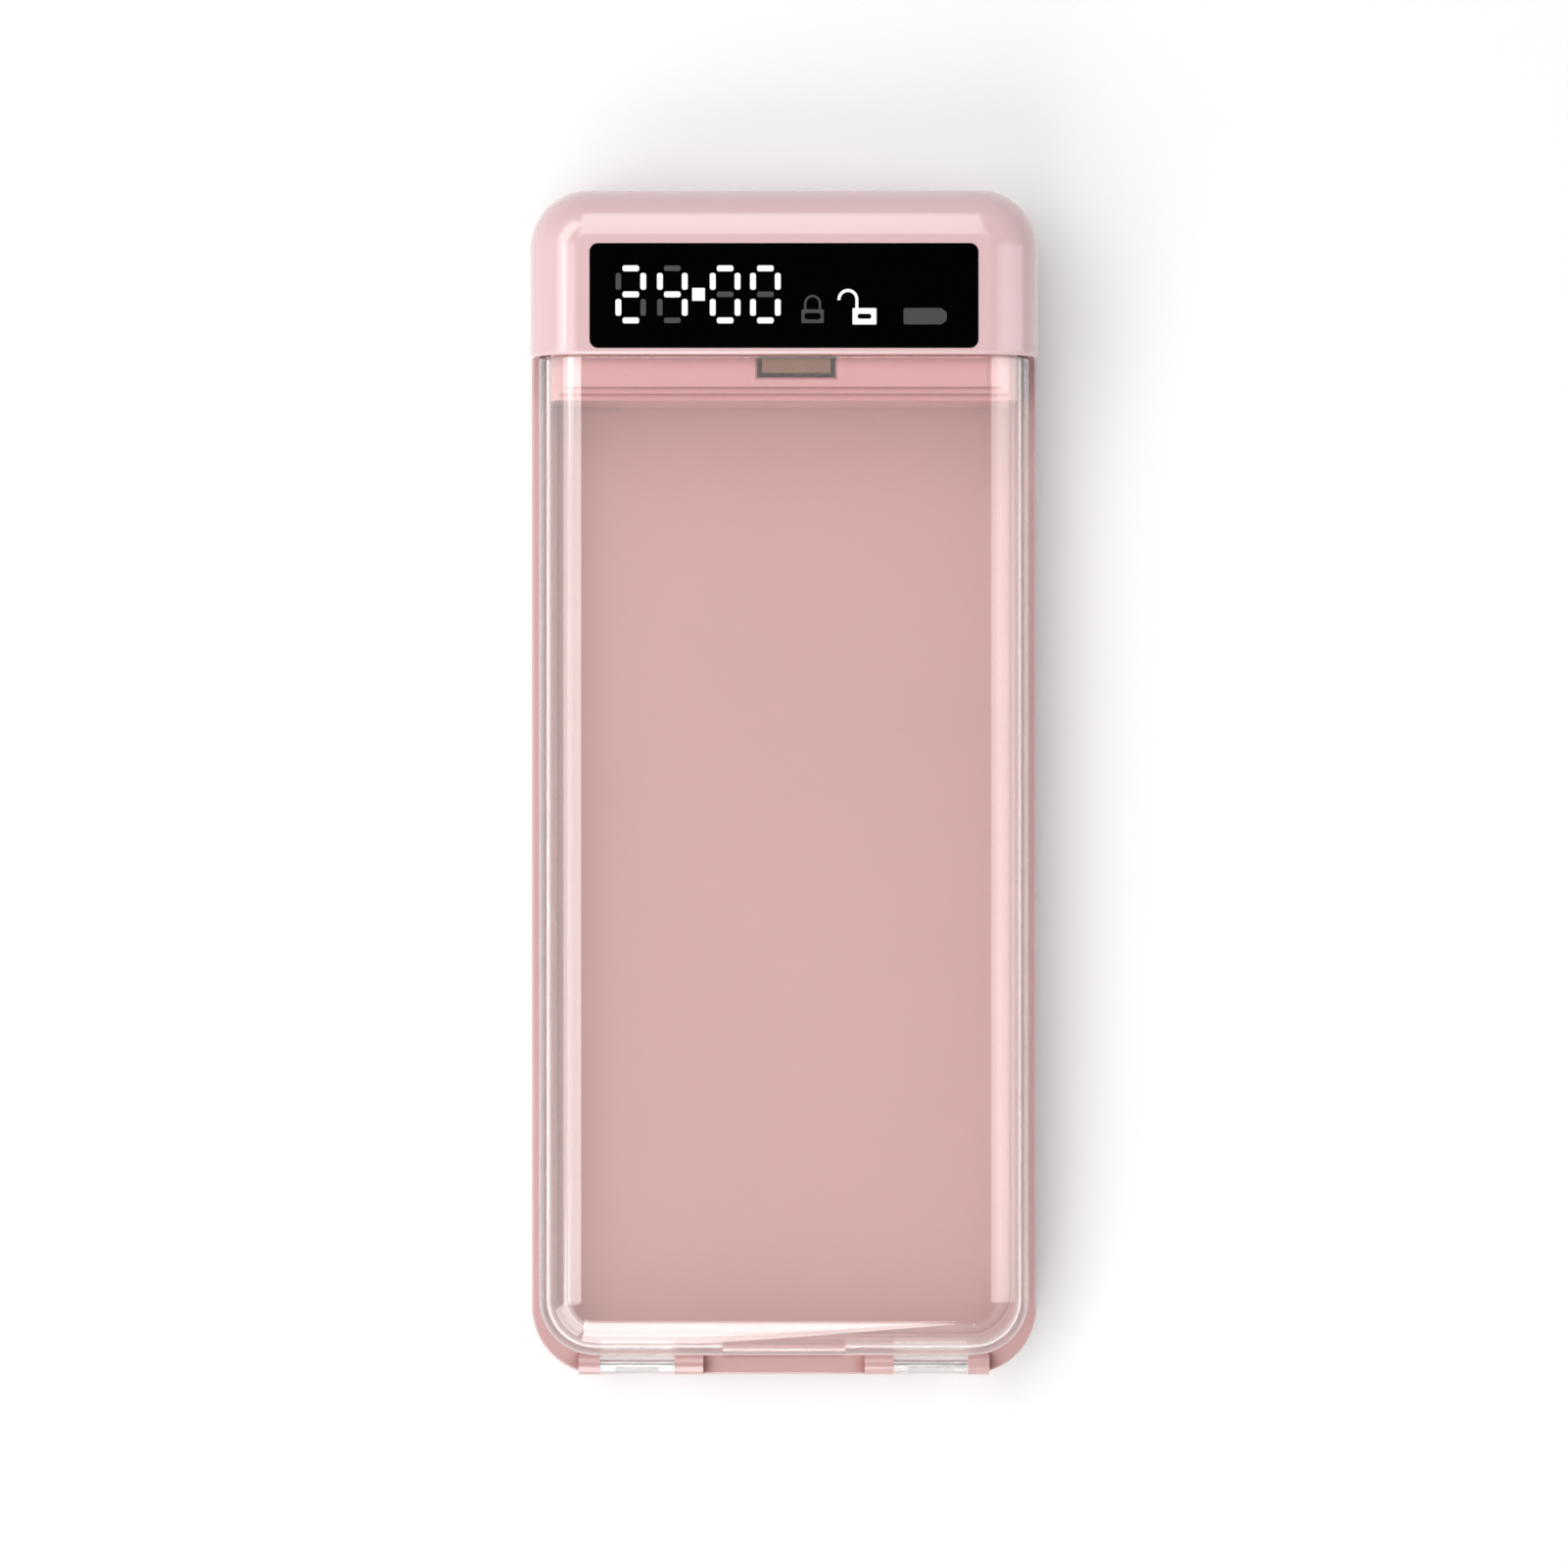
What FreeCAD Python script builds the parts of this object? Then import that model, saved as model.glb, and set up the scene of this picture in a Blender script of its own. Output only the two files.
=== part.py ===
import FreeCAD, Part
import math
import os

# Timed lock container for a mobile phone, in millimetres.
# It lies on its back: +Z is out of the front face, +Y towards the display head, -Y towards the hinges.
# The origin is on the table under the middle of the case.
# A pink tray carries a display head at one end and a clear cover, hinged at the other end.
# A geared motor in the head slides a bolt through the window of the cover's hook.

# Overall sizes of the case
CASE_WIDTH = 94.0
CASE_LENGTH = 220.0
CASE_HEIGHT = 30.0
FOOT_HEIGHT = 0.8
TAIL_CORNER = 12.5
HEAD_CORNER = 11.0
BACK_FILLET = 4.0

# Tray
FLOOR_WALL = 2.0
RIM_HEIGHT = 14.0
RIM_WALL = 1.5
RIM_ROUND = 0.4
SEAT_DROP = 2.6
BAY_OVERLAP = 0.01

# Clear cover
COVER_WALL = 1.8
COVER_DROP = 0.4
COVER_FILLET = 8.0
COVER_CORNER = 10.5
COVER_GAP = 0.2
EDGE_ROUND = 0.3

# Hinges at the tail: knuckles of the cover between blocks of the tray
KNUCKLE_RADIUS = 2.0
PIN_RADIUS = 0.8
PIN_PLAY = 0.05
PIN_ABOVE_RIM = 0.9
SWING_GAP = 0.25
KNUCKLE_FROM = 20.4
KNUCKLE_TO = 34.2
KNUCKLE_BOSS = 2.6
BLOCK_INNER = 5.4
BLOCK_OUTER = 4.0
BLOCK_GAP = 0.2
PIN_SEAT = 2.8
KNUCKLE_PLAY = 0.05
KNUCKLE_ROOT = 0.5
KNUCKLE_BAR_SHARE = 0.8

# Thin panel inside the cover's tail end
PANEL_HALF = 11.3
PANEL_REACH = 3.2
PANEL_DEPTH = 0.6
LIP_WIDTH = 0.5
LIP_HEIGHT = 1.3

# Display head
HEAD_LENGTH = 31.1
HEAD_FILLET = 9.0
HEAD_WALL = 2.0
HEAD_EDGE = 0.8
HEAD_END_WALL = 1.6
CASE_END_WALL = 1.8
LIP_DEPTH = 0.7
LIP_WALL = 1.0
LIP_GAP = 0.1
BOSS_GAP = 0.05
BOSS_SIDE_ROOM = 2.0
BOSS_END_ROOM = 0.5

# Ledge below the head, under the cover's edge, with two small steps down to the pocket
LEDGE_LENGTH = 8.2
LEDGE_GAP = 0.3
LEDGE_WALL = 1.6
STEP_LENGTH = 1.2
STEP_DROP = 0.8
FLOOR_GAP = 0.2

# Latch slot, hook and bolt
LATCH_X = 2.25
SLOT_WIDTH = 14.4
SLOT_LENGTH = 3.8
SLOT_SETBACK = 0.3
SLOT_EDGE = 0.35
HOOK_WIDTH = 12.6
HOOK_THICK = 2.6
HOOK_LENGTH = 10.6
HOOK_SIDE_GAP = 0.35
HOOK_FOOT = 2.0
HOOK_RIB = 0.7
HOOK_RIB_ROOT = 0.1
HOOK_CORNER = 1.0
WINDOW_WIDTH = 6.8
WINDOW_HEIGHT = 4.6
BOLT_WIDTH = 6.0
BOLT_THICK = 3.0
BOLT_LENGTH = 20.8
BOLT_NOSE = 0.7
BOLT_GAP = 0.9

# Rack and pinion
GEAR_MODULE = 0.5
PINION_TEETH = 12
PINION_WIDTH = 4.0
RACK_TEETH = 7
PRESSURE_ANGLE = 25.0
ADDENDUM = 0.8
DEDENDUM = 1.05
BACKLASH = 0.08
RACK_ROOT = 0.2
RACK_OVERHANG = 0.2
RACK_JOIN = 0.1
FLANK_STEPS = 4
PINION_PLAY = 0.05
PINION_BACK = 12.7

# Geared motor, lying across the head
MOTOR_WIDTH = 12.0
MOTOR_HEIGHT = 10.0
GEARBOX_LENGTH = 9.0
CAN_LENGTH = 15.0
SHAFT_RADIUS = 1.5
SHAFT_PLAY = 0.02
GEARBOX_GAP = 1.0
GEARBOX_NOSE = 0.8
NOSE_WALL = 0.5
SHAFT_END_GAP = 0.2
MOTOR_BUSH_RADIUS = 2.2
MOTOR_BUSH_LENGTH = 0.8
SHAFT_IN_GEARBOX = 5.0
SHAFT_PAST_PINION = 0.3

# Bracket that guides the bolt and cradles the motor
BRACKET_WALL = 1.5
GUIDE_WALL = 2.0
GUIDE_GROOVE = 0.7
GUIDE_PLAY = 0.15
GUIDE_LENGTH = 20.4
GUIDE_SETBACK = 0.6
GUIDE_ABOVE_BOLT = 1.2
BRACKET_STAND = 2.0
CRADLE_WALL = 1.4
CRADLE_LIFT = 3.0
STRAP_WIDTH = 3.0
STRAP_THICK = 1.0
EAR_LENGTH = 3.5
STRAP_SCREW_LENGTH = 5.0
MOTOR_PLAY = 0.05
SHAFT_ROOM = 0.8
BRACKET_JOIN = 0.5
BRACKET_POST = 2.6
BRACKET_SCREW_BACK = 4.8
GUIDE_SCREW_Y = (4.8, 18.8)
SADDLE_FROM = 2.0
SADDLE_TO = 4.0
SADDLE_MARGIN = 0.5
STRAP_SCREW_HEAD = 1.1

# Display
LENS_WIDTH = 71.3
LENS_LENGTH = 19.1
LENS_THICK = 1.2
LENS_CORNER = 1.5
LENS_LEAST_CORNER = 0.5
LENS_ROUND = 0.15
LENS_GAP = 0.1
LENS_DROP = 0.05
LENS_BELOW_TOP = 20.3
LENS_SHELF = 3.0
INLAY_DEPTH = 0.5
INLAY_GAP = 0.03
DIGIT_HEIGHT = 10.64
DIGIT_WIDTH = 5.64
SEGMENT_WIDTH = 1.08
SEGMENT_LENGTH = 3.06
DIM_WIDTH = 1.0
BAR_ROUND_SHARE = 0.38
DIGIT_X = (-28.14, -20.51, -10.81, -3.42)
DIGIT_Y = 0.22
DIGITS = (2, 4, 0, 0)
DOT_X = -15.7
DOT_SIDE = 2.35
DOT_ROUND = 0.1
ICON_Y = -3.8
LOCKED_X = 5.25
UNLOCKED_X = 14.78
BATTERY_ICON_X = 25.4
# Each padlock sign: body's width and height, dark slot's width and height, shackle's line
UNLOCKED_SIGN = (4.4, 3.0, 2.5, 0.92, 0.55)
LOCKED_SIGN = (4.1, 2.5, 3.0, 1.2, 0.42)
SIGN_ROUND = 0.2
SIGN_SLOT_SHARE = 0.4
SIGN_LEG_ROOT = 0.2
SIGN_LEG_ROUND = 0.02
OPEN_BOW_RADIUS = 1.64
OPEN_BOW_ANGLE = 185
OPEN_LEG_INSET = 0.8
OPEN_LEG_HEIGHT = 1.6
CLOSED_BOW_RADIUS = 1.35
CLOSED_BOW_ANGLE = 180
CLOSED_LEG_HEIGHT = 1.1
# The battery sign: half its width, half its height and its tip, then the radii of its corners
BATTERY_SIGN = (3.45, 1.5, 1.05)
BATTERY_SIGN_ROUNDS = (0.35, 0.2, 0.3)
MODULE_GAP = 0.15
DISPLAY_BOARD_THICK = 1.0
DISPLAY_BOARD_BELOW = 2.95
DISPLAY_BOARD_OVERHANG = 0.85
DISPLAY_BOARD_LENGTH = 17.0
DISPLAY_BOARD_BOSS_GAP = 0.4
DISPLAY_SCREW_INSET = 0.75
DISPLAY_BOSS = 1.5
DISPLAY_SCREW_LENGTH = 2.4
DISPLAY_BOSS_ROOT = 0.3
SCREW_TIP_ROOM = 0.2

# Flat cable between the two boards, and its plugs
FLEX_X = (23.5, 29.0)
FLEX_THICK = 0.2
FLEX_BEND = 2.0
FLEX_PAST_LENS = 2.5
FLEX_REACH = 6.0
PLUG_LENGTH = 3.0
PLUG_HEIGHT = 1.2
PLUG_MARGIN = 0.6

# Main board, battery and what is on the board
BOARD_THICK = 1.2
BOARD_STAND = 5.4
BOARD_EDGE_GAP = 2.0
BOARD_RIGHT_FROM = 10.9
BOARD_RIGHT_TO = 35.0
BOARD_STRIP = 4.4
BOARD_TO_BOSS = 0.7
BOARD_START = 5.3
BOARD_CORNER = 0.5
BOARD_CHIPS = (
    (7.0, 7.0, 1.0, 5.1, 5.0),
    (4.0, 3.2, 1.2, 16.1, 3.2),
    (4.0, 4.0, 2.0, 4.1, 15.0),
)
RESISTORS = 5
RESISTOR_SIZE = (1.2, 0.7, 0.6)
RESISTOR_START = 3.7
RESISTOR_STEP = 2.2
RESISTOR_ROW = 22.0
POST_RADIUS = 1.6
POST_INSET = 1.9
BOARD_SCREW_LENGTH = 4.2
BATTERY_SIZE = (17.0, 24.0, 4.5)
BATTERY_X = 23.1
BATTERY_Y = 9.3
BATTERY_ROUND = 1.0
BATTERY_LEAD_X = (-3.4, -1.13)
BATTERY_LEAD_RISE = 2.2
BATTERY_LEAD_OUT = 1.5
BATTERY_LEAD_IN = 2.0
USB_X = 23.0
USB_WIDTH = 8.9
USB_HEIGHT = 3.2
USB_DEPTH = 7.3
USB_SHELL = 0.3
USB_INSET = 0.3
USB_ROUND_SHARE = 0.45
TONGUE_GAP = 0.02
TONGUE_BASE = 1.4
TONGUE_WIDTH = 6.6
TONGUE_THICK = 0.7
TONGUE_SETBACK = 1.8
PORT_GAP = 0.25

# Push buttons in the head's end face
BUTTON_X = (-28.0, -16.0, -4.0)
BUTTON_NAMES = ("hour_button", "minute_button", "lock_button")
BUTTON_WIDTH = 7.0
BUTTON_HEIGHT = 3.0
BUTTON_GAP = 0.15
BUTTON_RECESS = 0.1
BUTTON_TRAVEL = 0.4
BUTTON_SPARE = 0.1
BUTTON_ROUND = 0.25
BUTTON_FLANGE = 0.7
BUTTON_FLANGE_RIM = 0.45
BUTTON_FLANGE_GAP = 0.3
BUTTON_STEM = 0.8
SWITCH_SIZE = (6.0, 3.4, 3.2)
SWITCH_NUB_RADIUS = 0.9
SWITCH_NUB = 0.5
SWITCH_NUB_ROOT = 0.5

# Fasteners and feet
CASE_SCREW_X = 40.0
CASE_SCREW_Y = (25.5, 7.5)
CASE_SCREW_RADIUS = 1.1
CASE_SCREW_HEAD = 2.0
CASE_SCREW_HEAD_THICK = 1.4
CASE_SCREW_LENGTH = 12.0
CASE_SCREW_HOLE_PLAY = 0.2
CASE_SCREW_SINK = 0.2
CASE_SCREW_HEAD_GAP = 0.3
CASE_BOSS = 3.0
CASE_BOSS_HEIGHT = 5.2
SMALL_SCREW_RADIUS = 0.8
SMALL_SCREW_HEAD = 1.5
SMALL_SCREW_HEAD_THICK = 1.0
SCREW_PLAY = 0.05
SMALL_HOLE_PLAY = 0.1
CROSS_WIDTH = 0.5
CROSS_DEPTH = 0.6
CROSS_SHARE = 0.65
FOOT_RADIUS = 4.0
FOOT_SET_IN = 0.4
FOOT_ROUND = 0.35
FOOT_PLAY = 0.1
FOOT_X = 37.0
HEAD_FOOT_Y = 16.5
TAIL_FOOT_Y = 17.0

# Leads
LEAD_RADIUS = 0.45
LEAD_BEND = 1.2
LEAD_STEP = 0.6
MOTOR_TERMINAL = 2.2
MOTOR_LEAD_RISE = 1.5
MOTOR_LEAD_INSETS = (2.7, 1.2)

# Places worked out from the sizes above
HALF = CASE_WIDTH / 2
HEAD_Y = CASE_LENGTH / 2
TAIL_Y = -CASE_LENGTH / 2
FLOOR_Z = FOOT_HEIGHT + FLOOR_WALL
SEAT_Z = RIM_HEIGHT - SEAT_DROP
HINGE_Y = TAIL_Y + KNUCKLE_RADIUS
HINGE_Z = RIM_HEIGHT + PIN_ABOVE_RIM
COVER_HALF = HALF - RIM_WALL - COVER_GAP
COVER_TAIL = HINGE_Y + KNUCKLE_RADIUS + SWING_GAP
COVER_Z = CASE_HEIGHT - COVER_DROP
COVER_FOOT_Z = SEAT_Z + COVER_GAP
STEP_Y = HEAD_Y - HEAD_LENGTH
COVER_HEAD = STEP_Y - LEDGE_GAP
LEDGE_Y = STEP_Y - LEDGE_LENGTH
LEDGE_Z = COVER_Z - COVER_WALL - LEDGE_GAP
LEDGE_HALF = COVER_HALF - COVER_WALL - LEDGE_GAP
HEAD_INNER_Z = CASE_HEIGHT - HEAD_WALL
CASE_INNER_Y = HEAD_Y - CASE_END_WALL
SLOT_TO_Y = STEP_Y - SLOT_SETBACK
HOOK_TO_Y = SLOT_TO_Y - HOOK_SIDE_GAP
HOOK_FROM_Y = HOOK_TO_Y - HOOK_THICK
HOOK_Z = COVER_Z - COVER_WALL - HOOK_LENGTH
WINDOW_Z = HOOK_Z + HOOK_FOOT
BOLT_Z = WINDOW_Z + (WINDOW_HEIGHT - BOLT_THICK) / 2
BOLT_Y = HOOK_TO_Y + BOLT_GAP
PITCH_RADIUS = GEAR_MODULE * PINION_TEETH / 2
RACK_PITCH = math.pi * GEAR_MODULE
RACK_LINE_Z = BOLT_Z - RACK_ROOT - DEDENDUM * GEAR_MODULE
PINION_Y = BOLT_Y + PINION_BACK
PINION_Z = RACK_LINE_Z - PITCH_RADIUS - PINION_PLAY
GUIDE_INNER = BOLT_WIDTH / 2 + GUIDE_PLAY - GUIDE_GROOVE
GEARBOX_X = LATCH_X - GUIDE_INNER - GUIDE_WALL - GEARBOX_GAP
CAN_X = GEARBOX_X - GEARBOX_LENGTH
MOTOR_END_X = CAN_X - CAN_LENGTH
BRACKET_Z = FLOOR_Z + BRACKET_STAND
BRACKET_TOP = BRACKET_Z + BRACKET_WALL
LENS_Y = HEAD_Y - LENS_BELOW_TOP
LENS_Z = CASE_HEIGHT - LENS_DROP
LENS_FLOOR_Z = LENS_Z - LENS_THICK
DISPLAY_BOARD_Z = LENS_FLOOR_Z - DISPLAY_BOARD_BELOW
DISPLAY_SCREW_X = LENS_WIDTH / 2 - DISPLAY_SCREW_INSET
FLEX_Y = LENS_Y + FLEX_PAST_LENS
BOARD_Z = FLOOR_Z + BOARD_STAND
BOARD_TOP = BOARD_Z + BOARD_THICK
BOARD_TO_Y = CASE_INNER_Y - BOARD_EDGE_GAP
BOARD_FROM_Y = LEDGE_Y + BOARD_START
BOARD_LEFT_X = CASE_BOSS + BOARD_TO_BOSS - CASE_SCREW_X
BUTTON_Z = BOARD_TOP + SWITCH_SIZE[2] / 2
SWITCH_FRONT_Y = CASE_INNER_Y - BUTTON_FLANGE_GAP - BUTTON_FLANGE - BUTTON_STEM
SWITCH_Y = SWITCH_FRONT_Y - BUTTON_TRAVEL - BUTTON_SPARE - SWITCH_NUB - SWITCH_SIZE[1]
CASE_SCREWS = [
    (side * CASE_SCREW_X, HEAD_Y - back) for side in (-1, 1) for back in CASE_SCREW_Y
]
BOARD_POSTS = [
    (BOARD_RIGHT_FROM + POST_INSET, BOARD_FROM_Y + POST_INSET),
    (BOARD_RIGHT_TO - POST_INSET, BOARD_FROM_Y + POST_INSET),
    (BOARD_RIGHT_FROM + POST_INSET, BOARD_TO_Y - POST_INSET),
    ((BUTTON_X[0] + BUTTON_X[1]) / 2, BOARD_TO_Y - POST_INSET),
]
BRACKET_SCREWS = [
    (CAN_X - BRACKET_SCREW_BACK, PINION_Y),
    (LATCH_X, BOLT_Y + GUIDE_SCREW_Y[0]),
    (LATCH_X, BOLT_Y + GUIDE_SCREW_Y[1]),
]
FEET = [
    (side * FOOT_X, y)
    for side in (-1, 1)
    for y in (HEAD_Y - HEAD_FOOT_Y, TAIL_Y + TAIL_FOOT_Y)
]


# Small helpers


def point(x, y, z):
    return FreeCAD.Vector(x, y, z)


def block(x0, x1, y0, y1, z0, z1):
    return Part.makeBox(x1 - x0, y1 - y0, z1 - z0, point(x0, y0, z0))


def rod(radius, start, end):
    return Part.makeCylinder(radius, (end - start).Length, start, end - start)


def post(x, y, z0, z1, radius):
    return rod(radius, point(x, y, z0), point(x, y, z1))


def fuse(*shapes):
    return shapes[0].fuse(list(shapes[1:])).removeSplitter()


def outline_face(corners, z):
    """A flat face through (x, y, radius) corners, each rounded by a tangent arc."""
    spots = [point(x, y, z) for x, y, _ in corners]
    rounded = []
    for i, spot in enumerate(spots):
        radius = corners[i][2]
        back = (spots[i - 1] - spot).normalize()
        ahead = (spots[(i + 1) % len(spots)] - spot).normalize()
        inward = (back + ahead).normalize()
        half = back.getAngle(ahead) / 2
        reach = radius / math.tan(half)
        middle = spot + inward * (radius / math.sin(half) - radius)
        rounded.append((spot + back * reach, middle, spot + ahead * reach, radius))
    edges = []
    for i, (start, middle, end, radius) in enumerate(rounded):
        if radius > 0:
            edges.append(Part.Arc(start, middle, end).toShape())
        following = rounded[(i + 1) % len(rounded)][0]
        if (following - end).Length > 1e-6:
            edges.append(Part.LineSegment(end, following).toShape())
    return Part.Face(Part.Wire(edges))


def plan_block(half, y0, y1, r0, r1, z0, z1):
    """An upright block with rounded plan corners: radius r0 at its y0 end, r1 at its y1 end."""
    corners = [(-half, y0, r0), (half, y0, r0), (half, y1, r1), (-half, y1, r1)]
    return outline_face(corners, z0).extrude(point(0, 0, z1 - z0))


def level_edges(shape, z):
    return [
        e
        for e in shape.Edges
        if abs(e.BoundBox.ZMin - z) < 1e-4 and abs(e.BoundBox.ZMax - z) < 1e-4
    ]


def rounded_at(shape, z, radius):
    """The shape with all its edges at height z rounded."""
    return shape.makeFillet(radius, level_edges(shape, z))


def end_block(x, z, width, height, y0, y1, radius):
    """A block along Y with a rounded upright section, for buttons and ports."""
    corners = [
        (-width / 2, -height / 2, radius),
        (width / 2, -height / 2, radius),
        (width / 2, height / 2, radius),
        (-width / 2, height / 2, radius),
    ]
    shape = outline_face(corners, 0).extrude(point(0, 0, y1 - y0))
    shape.rotate(point(0, 0, 0), point(1, 0, 0), -90)
    shape.translate(point(x, y0, z))
    return shape


def screw(x, y, z_head, length, radius, head_radius, head_thick, up):
    """A cross-head screw: its head starts at z_head, and its shank goes up or down."""
    way = 1 if up else -1
    z_neck = z_head + way * head_thick
    head = post(x, y, min(z_head, z_neck), max(z_head, z_neck), head_radius)
    z_tip = z_neck + way * length
    shank = post(x, y, min(z_neck, z_tip), max(z_neck, z_tip), radius)
    z_slot = z_head + way * CROSS_DEPTH
    low, high = min(z_head, z_slot), max(z_head, z_slot)
    arm = head_radius * CROSS_SHARE
    slim = CROSS_WIDTH / 2
    cross = block(x - arm, x + arm, y - slim, y + slim, low, high).fuse(
        block(x - slim, x + slim, y - arm, y + arm, low, high)
    )
    return fuse(head, shank).cut(cross)


def lead(spots, radius, bend):
    """A wire along straight runs joined by tangent arcs, through the given spots."""
    edges = []
    start = spots[0]
    for before, spot, after in zip(spots, spots[1:], spots[2:]):
        back = (before - spot).normalize()
        ahead = (after - spot).normalize()
        half = back.getAngle(ahead) / 2
        reach = bend / math.tan(half)
        inward = (back + ahead).normalize()
        middle = spot + inward * (bend / math.sin(half) - bend)
        edges.append(Part.LineSegment(start, spot + back * reach).toShape())
        edges.append(Part.Arc(spot + back * reach, middle, spot + ahead * reach).toShape())
        start = spot + ahead * reach
    edges.append(Part.LineSegment(start, spots[-1]).toShape())
    way = (spots[1] - spots[0]).normalize()
    ring = Part.Wire([Part.makeCircle(radius, spots[0], way)])
    return Part.Wire(edges).makePipeShell([ring], True, False)


# Tray and its hinge blocks


def case_plan(inset, z0, z1):
    """The plan of the whole case, drawn in by inset."""
    return plan_block(
        HALF - inset,
        TAIL_Y + inset,
        HEAD_Y - inset,
        TAIL_CORNER - inset,
        HEAD_CORNER - inset,
        z0,
        z1,
    )


def cover_plan(inset, z0, z1, y_to):
    """The plan of the clear cover, drawn in by inset, up to y_to."""
    return plan_block(
        COVER_HALF - inset, COVER_TAIL + inset, y_to, COVER_CORNER - inset, 0, z0, z1
    )


def block_ranges(side):
    """The X ranges of the tray's two hinge blocks on one side."""
    inner = sorted((side * (KNUCKLE_FROM - BLOCK_INNER), side * KNUCKLE_FROM))
    outer = sorted((side * KNUCKLE_TO, side * (KNUCKLE_TO + BLOCK_OUTER)))
    return inner, outer


def pin_range(side):
    """The X range of one hinge pin, from the inner block's blind hole to the outer block's face."""
    return sorted(
        (side * (KNUCKLE_FROM - PIN_SEAT), side * (KNUCKLE_TO + BLOCK_OUTER - PIN_PLAY))
    )


def hinge_blocks():
    shapes = []
    for side in (-1, 1):
        for x0, x1 in block_ranges(side):
            barrel = rod(KNUCKLE_RADIUS, point(x0, HINGE_Y, HINGE_Z), point(x1, HINGE_Y, HINGE_Z))
            base = block(
                x0,
                x1,
                HINGE_Y - KNUCKLE_RADIUS,
                HINGE_Y + KNUCKLE_RADIUS,
                RIM_HEIGHT - 2 * RIM_ROUND,
                HINGE_Z,
            )
            shapes.append(barrel.fuse(base))
    return shapes


def hinge_cuts():
    """The notches for the cover's knuckles, and the holes for the pins."""
    cuts = []
    for side in (-1, 1):
        x0, x1 = sorted((side * KNUCKLE_FROM, side * KNUCKLE_TO))
        cuts.append(block(x0, x1, TAIL_Y - 1, COVER_TAIL - COVER_GAP, 0, CASE_HEIGHT))
        x0, x1 = pin_range(side)
        reach = side * BLOCK_OUTER
        start, end = sorted((x0, x1 + reach)) if side > 0 else sorted((x0 + reach, x1))
        cuts.append(
            rod(PIN_RADIUS + PIN_PLAY, point(start, HINGE_Y, HINGE_Z), point(end, HINGE_Y, HINGE_Z))
        )
    return cuts


def rear_case():
    body = case_plan(0, FOOT_HEIGHT, RIM_HEIGHT)
    body = rounded_at(body, FOOT_HEIGHT, BACK_FILLET)
    body = rounded_at(body, RIM_HEIGHT, RIM_ROUND)
    upper = cover_plan(-COVER_GAP, SEAT_Z, RIM_HEIGHT + 1, STEP_Y)
    lower = cover_plan(COVER_WALL, FLOOR_Z, RIM_HEIGHT + 1, STEP_Y)
    bay = case_plan(CASE_END_WALL, FLOOR_Z, RIM_HEIGHT + 1).common(
        block(-HALF, HALF, STEP_Y - BAY_OVERLAP, HEAD_Y, 0, CASE_HEIGHT)
    )
    body = body.cut([upper, lower, bay])
    lip = block(
        -PANEL_HALF,
        PANEL_HALF,
        COVER_TAIL - COVER_GAP - LIP_WIDTH,
        COVER_TAIL - COVER_GAP,
        RIM_HEIGHT - 1,
        RIM_HEIGHT + LIP_HEIGHT - PIN_ABOVE_RIM,
    )
    posts = [post(x, y, FLOOR_Z - 1, FLOOR_Z + CASE_BOSS_HEIGHT, CASE_BOSS) for x, y in CASE_SCREWS]
    posts += [post(x, y, FLOOR_Z - 1, BOARD_Z, POST_RADIUS) for x, y in BOARD_POSTS]
    posts += [post(x, y, FLOOR_Z - 1, BRACKET_Z, BRACKET_POST) for x, y in BRACKET_SCREWS]
    body = fuse(body, lip, *hinge_blocks(), *posts)
    cuts = hinge_cuts()
    for x, y in CASE_SCREWS:
        cuts.append(post(x, y, 0, CASE_HEIGHT, CASE_SCREW_RADIUS + CASE_SCREW_HOLE_PLAY))
        depth = FOOT_HEIGHT + CASE_SCREW_HEAD_THICK + CASE_SCREW_SINK
        cuts.append(post(x, y, 0, depth, CASE_SCREW_HEAD + CASE_SCREW_HEAD_GAP))
    pilot = SMALL_SCREW_RADIUS + SCREW_PLAY
    for x, y in BOARD_POSTS:
        cuts.append(post(x, y, FLOOR_Z, CASE_HEIGHT, pilot))
    for x, y in BRACKET_SCREWS:
        cuts.append(post(x, y, FLOOR_Z - 1, CASE_HEIGHT, pilot))
    for x, y in FEET:
        cuts.append(post(x, y, 0, FOOT_HEIGHT + FOOT_SET_IN, FOOT_RADIUS + FOOT_PLAY))
    for x in BUTTON_X:
        cuts.append(
            end_block(
                x,
                BUTTON_Z,
                BUTTON_WIDTH + 2 * BUTTON_GAP,
                BUTTON_HEIGHT + 2 * BUTTON_GAP,
                CASE_INNER_Y - 1,
                HEAD_Y + 1,
                BUTTON_HEIGHT / 2,
            )
        )
    cuts.append(
        end_block(
            USB_X,
            BOARD_TOP + USB_HEIGHT / 2,
            USB_WIDTH + 2 * PORT_GAP,
            USB_HEIGHT + 2 * PORT_GAP,
            CASE_INNER_Y - 1,
            HEAD_Y + 1,
            USB_HEIGHT / 2,
        )
    )
    return body.cut(cuts)


def feet():
    shapes = []
    for x, y in FEET:
        foot = post(x, y, 0, FOOT_HEIGHT + FOOT_SET_IN, FOOT_RADIUS)
        shapes.append(rounded_at(foot, 0, FOOT_ROUND))
    return Part.makeCompound(shapes)


# Clear cover with its knuckles, pins and hook


def cover_shell(inset, z_top, fillet):
    """The cover's shape drawn in by inset: rounded along its sides and its tail."""
    body = cover_plan(inset, COVER_FOOT_Z - inset, z_top, COVER_HEAD + HEAD_LENGTH)
    edges = [e for e in level_edges(body, z_top) if e.BoundBox.YMin < COVER_HEAD]
    return body.makeFillet(fillet, edges)


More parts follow.
